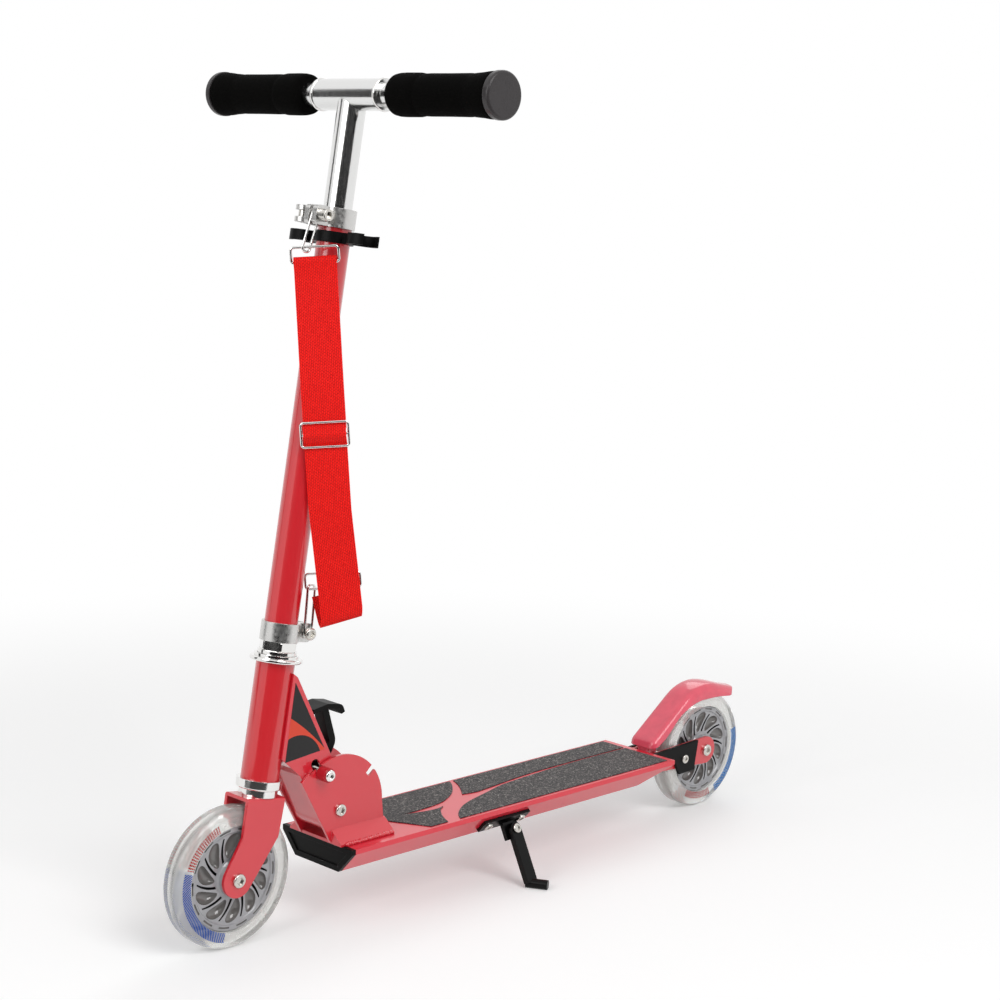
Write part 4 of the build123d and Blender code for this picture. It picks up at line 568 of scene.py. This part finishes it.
def bentBlock(cuts, bend):
    # a finely divided block, two units wide, with every corner moved by bend
    bpy.ops.object.select_all(action="DESELECT")
    bpy.ops.mesh.primitive_cube_add(size=2)
    obj = bpy.context.object
    editAll(obj)
    bpy.ops.mesh.subdivide(number_cuts=cuts)
    bpy.ops.object.mode_set(mode="OBJECT")
    for vertex in obj.data.vertices:
        vertex.co = bend(*vertex.co)
    return obj


def dimpleTool():
    d = coreShape["dimple"]
    bpy.ops.object.select_all(action="DESELECT")
    bpy.ops.mesh.primitive_uv_sphere_add(segments=28, ring_count=18, radius=1)
    obj = bpy.context.object
    for vertex in obj.data.vertices:
        x, y, z = vertex.co
        radius = d["at"] + d["long"] * x
        aside = d["wide"] * z * (d["middle"] + d["flare"] * x)
        vertex.co = polar(radius, aside, coreShape["face"] + d["deep"] * y, swept(radius))
    return obj


def slitTool():
    s = coreShape["slit"]

    def bend(x, y, z):
        radius = alongRadius(s, x)
        aside = s["wide"] / 2 * z * (1 - s["taper"] * max(0, x))
        turn = swept(radius) + math.pi / coreShape["count"]      # halfway between two dimples
        return polar(radius, aside, coreShape["face"] + s["deep"] * y, turn)

    return bentBlock(cuts=9, bend=bend)


def dashTool():
    d = coreShape["dash"]

    def bend(x, y, z):
        return polar(alongRadius(d, x), 0, coreShape["half"] + d["deep"] * y, math.radians(d["arc"] / 2) * z)

    return bentBlock(cuts=5, bend=bend)


def roundAndBoth(obj, count, height):
    # copies round the axle on both faces of the wheel
    spins = [Matrix.Rotation(-math.tau * k / count, 4, "Y") for k in range(count)]
    over = Matrix.Translation((0, -2 * height * mm, 0))
    return copies(obj, spins + [over @ spin for spin in spins])


def wheelCore(name, centreX, body, node):
    c = coreShape
    side = [
        (c["seat"], c["bore"]), (c["seat"], c["bearing"]),
        (c["hubHalf"] - 0.6, c["bearing"]), (c["hubHalf"], c["bearing"] + 0.6),
        (c["hubHalf"], c["hub"] - 0.5), (c["hubHalf"] - 0.5, c["hub"]),
        (c["face"] + 1.2, c["hub"] + 0.3), (c["face"], c["hub"] + 1.6),
        (c["face"], c["lip"] - 0.8), (c["face"] + 0.7, c["lip"]),
        (c["half"], c["lip"] + 0.4), (c["half"], c["outer"] - 0.8), (c["half"] - 0.8, c["outer"]),
    ]
    loop = side + [(-y, radius) for y, radius in reversed(side)]
    obj = lathe(name, loop + loop[:1], steps=96)
    finish(obj, corePlastic)
    # the dimples and the dashes take the darker grey, painted shade in them; the slits take near-black,
    # painted shadow
    cuts = [
        (dimpleTool(), recessShadeGloss, c["count"], c["face"]),
        (slitTool(), coreShadow, c["count"], c["face"]),
        (dashTool(), recessShadeGloss, c["dash"]["count"], c["half"]),
    ]
    for tool, material, count, height in cuts:
        finish(tool, material)
        boolean(obj, roundAndBoth(tool, count, height), "DIFFERENCE")
    editAll(obj)
    merge(0.001 * mm)      # the cuts leave a few pairs of corners at one place
    bpy.ops.object.mode_set(mode="OBJECT")
    obj.location = (centreX, 0, column["axleZ"])
    settle(obj, name)
    smooth(obj, angle=38)
    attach(obj, body)
    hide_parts(node)


wheelCore("front_moulded_core", wheelX["front"], "front_wheel", "front_wheel_core")
wheelCore("rear_moulded_core", wheelX["rear"], "rear_wheel", "rear_wheel_core")
print("wheel cores made")


# hinge bracket: the sheet bracket with its whole round rim between the two lock notches
hingeShape = {"x": 201, "z": 100.5, "rim": 48.5, "inner": 38.5, "notches": (59.8, 140.8), "margin": 4.2,
              "low": 18.02, "high": 20.78}


def rimSector(side):
    h = hingeShape
    centre = Vector((h["x"] * mm, 0, h["z"] * mm))
    across = Vector((0, side * (h["low"] + h["high"]) / 2 * mm, 0))
    first = math.radians(h["notches"][0] + h["margin"])
    last = math.radians(h["notches"][1] - h["margin"])
    bpy.ops.object.select_all(action="DESELECT")
    bpy.ops.mesh.primitive_cylinder_add(
        vertices=160, radius=h["rim"] * mm, depth=(h["high"] - h["low"]) * mm,
        rotation=(math.pi / 2, 0, 0), location=centre + across)
    obj = bpy.context.object
    settle(obj, "rim_sector")
    editAll(obj)
    for angle, keep in [(first, 1), (last, -1)]:
        cutOff(centre, Vector((math.sin(angle), 0, -math.cos(angle))) * keep)
    middle = (first + last) / 2
    toMiddle = Vector((math.cos(middle), 0, math.sin(middle)))
    chord = h["inner"] * math.cos((last - first) / 2) * mm
    cutOff(centre + toMiddle * chord, -toMiddle)
    faceOut()
    return obj


def hingeBracket():
    obj = copyOf("hinge_bracket", "hinge_sheet_bracket")
    for side in (1, -1):
        boolean(obj, rimSector(side), "UNION")
    finish(obj, redPaint)
    smooth(obj, angle=30)
    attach(obj, "deck")
    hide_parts("hinge_bracket")


hingeBracket()
print("hinge bracket made")


# fender brake: the moulded fender with a domed back, its tail rounded in plan and flicked up
fenderShape = {
    "tail": -351, "half": 17, "round": 15, "steps": 6, "loops": 11,
    "dome": 2.4, "domeFrom": -258, "domeFull": -280, "flickFrom": -338, "flick": 0.004,
}


def roundTail(side):
    # in edit mode: one corner of the tail is cut round, a flat at a time
    f = fenderShape
    middle = Vector((f["tail"] + f["round"], side * (f["half"] - f["round"]), 0))
    for k in range(f["steps"]):
        angle = math.radians(90 * (k + 0.5) / f["steps"])
        out = Vector((-math.cos(angle), side * math.sin(angle), 0))
        cutOff((middle + out * f["round"]) * mm, out)


def fenderBrake():
    f = fenderShape
    obj = copyOf("brake_fender", "fender_cover")
    editAll(obj)
    for side in (1, -1):
        roundTail(side)
    for k in range(1, f["loops"] + 1):
        y = f["half"] * (2 * k / (f["loops"] + 1) - 1)
        bpy.ops.mesh.select_all(action="SELECT")
        bpy.ops.mesh.bisect(plane_co=(0, y * mm, 0), plane_no=(0, 1, 0))
    faceOut()
    for vertex in obj.data.vertices:
        x, y, z = vertex.co / mm
        grown = min(1, max(0, (x - f["domeFrom"]) / (f["domeFull"] - f["domeFrom"])))
        dome = f["dome"] * grown * (1 - min(1, (y / f["half"]) ** 2))
        flick = f["flick"] * max(0, f["flickFrom"] - x) ** 2
        vertex.co.z += (dome + flick) * mm
    finish(obj, fenderAbs)
    smooth(obj, angle=30)
    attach(obj, "brake")
    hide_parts("brake_fender")


fenderBrake()
print("fender made")


# grip tape: one sheet with a swoosh left bare, its arms running to the rear, the front and each side
tapeShape = {
    "rear": -209, "front": 134, "half": 42.5, "chamfer": [(134, 4.25), (112.75, 42.5)],
    "low": 72.52, "high": 73.3, "over": 2, "steps": 6, "nearest": 0.1,
    "swoosh": [
        [(-216, -15), (-130, -14.6), (-67.5, -12.8), (-5.7, -5.4), (11, -3.9), (26.6, -6.8)],
        [(26.6, -6.8), (23.2, -10.7), (16.4, -19.2), (9.1, -30.4), (3.8, -41.7), (2.3, -49)],
        [(6, -49), (11.1, -37.7), (19.3, -27.2), (28.7, -17.9), (37.8, -11.4), (47.9, -5.7), (56.8, -2),
         (68.3, 0.5), (82, 1.8), (97, 2.6), (114.1, 1.8)],
        [(114.1, 1.8), (99.8, 5.8), (85.6, 9.2), (73.5, 9.7), (65, 8)],
        [(65, 8), (69.7, 10.8), (75.2, 15.2), (82.9, 24.7), (89.1, 35.2), (94, 47)],
        [(79, 47), (73.8, 37.4), (66.9, 29.8), (56.8, 22.2), (46.9, 16.7), (33.4, 11.4), (18.2, 7.2),
         (0.1, 2.3), (-18.3, -2.8), (-40.8, -6), (-62.4, -7.9), (-95.8, -10.4), (-127, -11.7),
         (-170, -12.4), (-216, -12)],
    ],
}


def gripTapeSheet():
    t = tapeShape
    sheet = [(t["rear"], -t["half"]), (t["front"], -t["half"]), *t["chamfer"], (t["rear"], t["half"])]
    obj = slab("swoosh_grip_tape", [(x * mm, y * mm) for x, y in sheet], t["low"] * mm, t["high"] * mm)
    bare = []
    for chain in t["swoosh"]:
        for point in smoothPath(chain, t["steps"]):
            if not bare or (point * mm - bare[-1]).length > t["nearest"] * mm:
                bare.append(point * mm)
    tool = slab("bare", bare, (t["low"] - t["over"]) * mm, (t["high"] + t["over"]) * mm)
    boolean(obj, tool, "DIFFERENCE")
    finish(obj, gripTape)
    smooth(obj, angle=30)
    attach(obj, "deck")
    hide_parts("grip_tape")


gripTapeSheet()
print("grip tape made")


# weld beads along the toes of the foot flanges, a row of drops that wanders a little up and down
weldShape = {"from": 151.5, "to": 207, "pitch": 2.6, "y": 34.0, "z": 73.8, "radius": 2.1,
             "squash": 0.95, "drift": 0.25, "beat": 2.4}


def weldBead(name, side):
    w = weldShape
    bpy.ops.object.select_all(action="DESELECT")
    bpy.ops.mesh.primitive_uv_sphere_add(segments=12, ring_count=8, radius=w["radius"] * mm)
    drop = bpy.context.object
    drop.scale.x = w["squash"]
    settle(drop, name)
    places = []
    for k in range(int((w["to"] - w["from"]) / w["pitch"])):
        z = w["z"] + w["drift"] * math.sin(w["beat"] * k)
        places.append(Matrix.Translation(Vector((w["from"] + k * w["pitch"], side * w["y"], z)) * mm))
    obj = copies(drop, places)
    obj.name = name
    finish(obj, redPaint)
    smooth(obj, angle=60)
    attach(obj, "deck")


weldBead("left_weld_bead", 1)
weldBead("right_weld_bead", -1)
print("weld beads made")


# printed vinyl on the sides of the neck box: a film cut to an outline of (x, z), counterclockwise
decalShape = {
    "corners": [(216.6, 156.5), (246, 152.2), (259.8, 158.2), (250.2, 219.5), (247.6, 217.6)],
    "y": 17.5, "sunk": 0.02, "film": 0.14, "edge": 0.04, "edgeAngle": 35,
}


def neckDecal(name, side):
    d = decalShape
    corners = [(x * mm, z * mm) for x, z in d["corners"]]
    xs, zs = zip(*corners)
    low, high = sorted([side * (d["y"] - d["sunk"]) * mm, side * (d["y"] + d["film"]) * mm])
    middle = ((min(xs) + max(xs)) / 2, (low + high) / 2, (min(zs) + max(zs)) / 2)
    bpy.ops.object.select_all(action="DESELECT")
    bpy.ops.mesh.primitive_cube_add(size=1, location=middle)
    obj = bpy.context.object
    obj.scale = (max(xs) - min(xs), high - low, max(zs) - min(zs))
    settle(obj, name)
    editAll(obj)
    for (ax, az), (bx, bz) in zip(corners, corners[1:] + corners[:1]):
        cutOff((ax, 0, az), (bz - az, 0, ax - bx))
    faceOut()
    edge = obj.modifiers.new("edge", "BEVEL")
    edge.width = d["edge"] * mm
    edge.segments = 1
    edge.limit_method = "ANGLE"
    edge.angle_limit = math.radians(d["edgeAngle"])
    applyAll(obj)
    finish(obj, vinyl)
    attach(obj, "head")


neckDecal("left_neck_vinyl", 1)
neckDecal("right_neck_vinyl", -1)
print("neck vinyl made")


# rolled rims on the ends of the cross tube
rimShape = {"end": 39.9, "width": 3.0, "radius": 13.05, "sunk": 0.3, "shoulder": 0.4, "rise": 0.7,
            "lip": 0.2, "roll": 0.9}


def sleeveRim(name, side):
    r = rimShape
    start, end = r["end"] - r["width"], r["end"]
    foot, shoulder, top = r["radius"] - r["sunk"], r["radius"] + r["shoulder"], r["radius"] + r["rise"]
    outline = [
        (start, foot), (start + r["lip"], shoulder), (start + r["roll"], top), (end - r["roll"], top),
        (end - r["lip"], shoulder), (end, foot), (start, foot),
    ]
    obj = lathe(name, outline, side)
    obj.location = barCentre
    settle(obj, name)
    smooth(obj, angle=60)
    finish(obj, chrome)
    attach(obj, "handlebar")


sleeveRim("left_sleeve_rim", 1)
sleeveRim("right_sleeve_rim", -1)
print("sleeve rims made")


# carrying strap: one length of webbing, up the back, over the top ring, down the front, folded at the bottom
strapShape = {
    "top": (228.5, 5.5, 563), "facing": 44.2, "lean": 5.2, "width": 35, "thickness": 1.5, "cup": 0.3,
    "bottomFrom": 200, "bottomRun": 96, "skew": 0.24, "sway": 3.4, "tailFrom": 0.8, "tailShift": 7,
    "steps": 12, "cells": 12,
    "path": [      # down from the top, out from the column
        (133, 12.2), (90, 9.6), (45, 4.1), (8, -1.0), (-2.6, -2.6), (-6.2, -0.7), (-3.4, 1.4), (8, 1.2),
        (45, 6.1), (90, 12.1), (115, 13.8), (127, 14.4), (132, 16.7), (137, 19.3), (142, 17.0), (147, 15.0),
        (162, 15.7), (200, 16.6), (235, 14.2), (268, 11.2), (287, 9.6), (294.5, 6.6), (295.6, 3.2),
        (291, 0.4), (282, -0.4), (272, -0.6),
    ],
}


def strapPoint(down, out, aside, share):
    # a spot on the webbing: aside is from its middle line, share is how far it is along the whole length
    s = strapShape
    turn = math.radians(s["facing"])
    facing = Vector((math.cos(turn), math.sin(turn), 0))
    hang = Matrix.Rotation(math.radians(s["lean"]), 3, facing) @ Vector((0, 0, -1))
    across = facing.cross(hang)
    bottom = max(0.0, (down - s["bottomFrom"]) / s["bottomRun"])
    tail = max(0.0, (share - s["tailFrom"]) / (1 - s["tailFrom"]))
    cup = s["cup"] * (1 - (2 * aside / s["width"]) ** 2)      # the webbing cups a little across its width
    fall = hang * (down - aside * s["skew"] * bottom)
    sideways = across * (aside + s["sway"] * bottom - s["tailShift"] * tail)
    return Vector(s["top"]) * mm + (fall + facing * (out + cup) + sideways) * mm


def carryingStrap():
    s = strapShape
    path = smoothPath(s["path"], s["steps"])
    rows = len(path) - 1
    along = [0.0]
    for a, b in zip(path, path[1:]):
        along.append(along[-1] + (b - a).length)
    bpy.ops.object.select_all(action="DESELECT")
    bpy.ops.mesh.primitive_grid_add(x_subdivisions=rows, y_subdivisions=s["cells"], size=1)
    obj = bpy.context.object
    mesh = obj.data
    mesh.uv_layers.new(name="flat")
    for other in [layer for layer in mesh.uv_layers if layer.name != "flat"]:
        mesh.uv_layers.remove(other)
    laidOut = []      # the same corners on the flat webbing
    for vertex in mesh.vertices:
        row = round((vertex.co.x + 0.5) * rows)
        aside = vertex.co.y * s["width"]
        laidOut.append((along[row] * mm, aside * mm))
        vertex.co = strapPoint(*path[row], aside, row / rows)
    flat = mesh.uv_layers["flat"]
    for loop in mesh.loops:
        flat.data[loop.index].uv = laidOut[loop.vertex_index]
    settle(obj, "carrying_strap")
    wall = obj.modifiers.new("webbing", "SOLIDIFY")
    wall.thickness = s["thickness"] * mm
    wall.offset = 0
    applyAll(obj)
    smooth(obj, angle=50)
    finish(obj, webbing)
    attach(obj, "steering")
    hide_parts("strap")


carryingStrap()
print("strap made")


# stage: pale floor that runs off white, soft boxes, a white room and its dark parts
floorLook = {"size": 30, "under": -0.0004, "glow": 0.17, "fadeFrom": 0.55, "fadeTo": 1.3}
roomFill = 0.45
white = (1, 1, 1, 1)


def seenRays(tree):
    # 1 for what is seen straight, in gloss or through clear plastic
    ray = addNode(tree, "LightPath").outputs
    direct = addNode(tree, "Math", {0: ray["Is Camera Ray"], 1: ray["Is Glossy Ray"]}, operation="MAXIMUM")
    through = {0: direct.outputs[0], 1: ray["Is Transmission Ray"]}
    return addNode(tree, "Math", through, operation="MAXIMUM").outputs[0]


def stageFloor():
    f = floorLook
    bpy.ops.object.select_all(action="DESELECT")
    bpy.ops.mesh.primitive_plane_add(size=f["size"], location=(0, 0, f["under"]))
    floor = bpy.context.object
    floor.name = "studio_floor"
    made, tree, shader = newMaterial("white studio floor")
    tree.nodes.remove(shader)
    matt = addNode(tree, "BsdfDiffuse", {"Color": linear("#f4f4f4")})
    glow = addNode(tree, "Emission", {"Color": white, "Strength": f["glow"]})
    near = addNode(tree, "AddShader", {0: matt.outputs[0], 1: glow.outputs[0]})
    far = addNode(tree, "Emission", {"Color": white, "Strength": 1.0})
    place = addNode(tree, "TexCoord")
    away = addNode(tree, "VectorMath", {0: place.outputs["Object"]}, operation="LENGTH")
    fade = addNode(tree, "MapRange", {"Value": away.outputs["Value"], "From Min": f["fadeFrom"],
                                      "From Max": f["fadeTo"]}, interpolation_type="SMOOTHSTEP")
    seen = addNode(tree, "MixShader", {0: fade.outputs["Result"], 1: near.outputs[0], 2: far.outputs[0]})
    both = addNode(tree, "MixShader", {0: seenRays(tree), 1: matt.outputs[0], 2: seen.outputs[0]})
    plug(tree, tree.nodes["Material Output"], {"Surface": both.outputs[0]})
    floor.data.materials.append(made)


def room():
    world = bpy.context.scene.world or bpy.data.worlds.new("room")
    bpy.context.scene.world = world
    world.use_nodes = True
    tree = world.node_tree
    tree.nodes.clear()
    dim = addNode(tree, "Background", {"Color": white, "Strength": roomFill})
    full = addNode(tree, "Background", {"Color": white, "Strength": 1.0})
    both = addNode(tree, "MixShader", {0: seenRays(tree), 1: dim.outputs[0], 2: full.outputs[0]})
    addNode(tree, "OutputWorld", {"Surface": both.outputs[0]})


softBoxes = [
    {"name": "key", "place": (0.4, 2.6, 2.6), "size": 1.8, "watts": 52},
    {"name": "side", "place": (2.7, 0.2, 1.6), "size": 1.4, "watts": 22},
    {"name": "back", "place": (-2.2, -1.2, 2.2), "size": 1.6, "watts": 14},
]
lampAim = Vector((0, 0, 0.3))
# the dark parts, seen only in gloss: a wall behind the camera, a narrow one to its side, and floor boards
roomCards = [
    {"name": "wall", "azimuth": 52, "away": 3.0, "size": (6.0, 2.4), "middle": 0.75, "upright": True},
    {"name": "corner", "azimuth": -44, "away": 3.0, "size": (0.8, 2.4), "middle": 0.9, "upright": True},
    {"name": "boards", "azimuth": 52, "away": 1.85, "size": (5.0, 2.3), "middle": 0.002, "upright": False},
]


def darkRoom():
    made = newMaterial("unlit room", Roughness=1.0, Base_Color=linear("#1c1b1b"))[0]
    for card in roomCards:
        turn = math.radians(card["azimuth"])
        place = (card["away"] * math.cos(turn), card["away"] * math.sin(turn), card["middle"])
        tilt = math.pi / 2 if card["upright"] else 0
        bpy.ops.object.select_all(action="DESELECT")
        bpy.ops.mesh.primitive_plane_add(size=1, location=place, rotation=(tilt, 0, turn - math.pi / 2))
        board = bpy.context.object
        board.scale = (*card["size"], 1)
        board.name = "dark_room_" + card["name"]
        board.data.materials.append(made)
        board.visible_camera = False
        board.visible_diffuse = False
        board.visible_transmission = False
        board.visible_shadow = False


def lamps():
    for box in softBoxes:
        bpy.ops.object.light_add(type="AREA", location=box["place"])
        lamp = bpy.context.object
        lamp.name = "softbox_" + box["name"]
        lamp.data.energy = box["watts"]
        lamp.data.size = box["size"]
        lamp.rotation_euler = (lampAim - lamp.location).to_track_quat("-Z", "Y").to_euler()


# place in metres, angles in degrees, lens and sensor in mm
cameraFacts = {"place": (1.315982, 1.283182, 0.648983), "yaw": 224.23, "pitch": -9.314, "roll": 2.116,
               "lens": 73.66, "sensor": 36}


def photoCamera():
    c = cameraFacts
    yaw, pitch, roll = (math.radians(c[key]) for key in ("yaw", "pitch", "roll"))
    ahead = Vector((math.cos(yaw) * math.cos(pitch), math.sin(yaw) * math.cos(pitch), math.sin(pitch)))
    right = ahead.cross(Vector((0, 0, 1))).normalized()
    up = right.cross(ahead)
    side = right * math.cos(roll) + up * math.sin(roll)
    top = up * math.cos(roll) - right * math.sin(roll)
    bpy.ops.object.camera_add(location=c["place"])
    camera = bpy.context.object
    camera.name = "photo_camera"
    camera.data.lens = c["lens"]
    camera.data.sensor_width = c["sensor"]
    camera.rotation_euler = Matrix((side, top, -ahead)).transposed().to_euler()
    bpy.context.scene.camera = camera


stageFloor()
darkRoom()
room()
lamps()
photoCamera()
bpy.context.scene.view_settings.view_transform = "Standard"
print("stage, lamps and camera set")
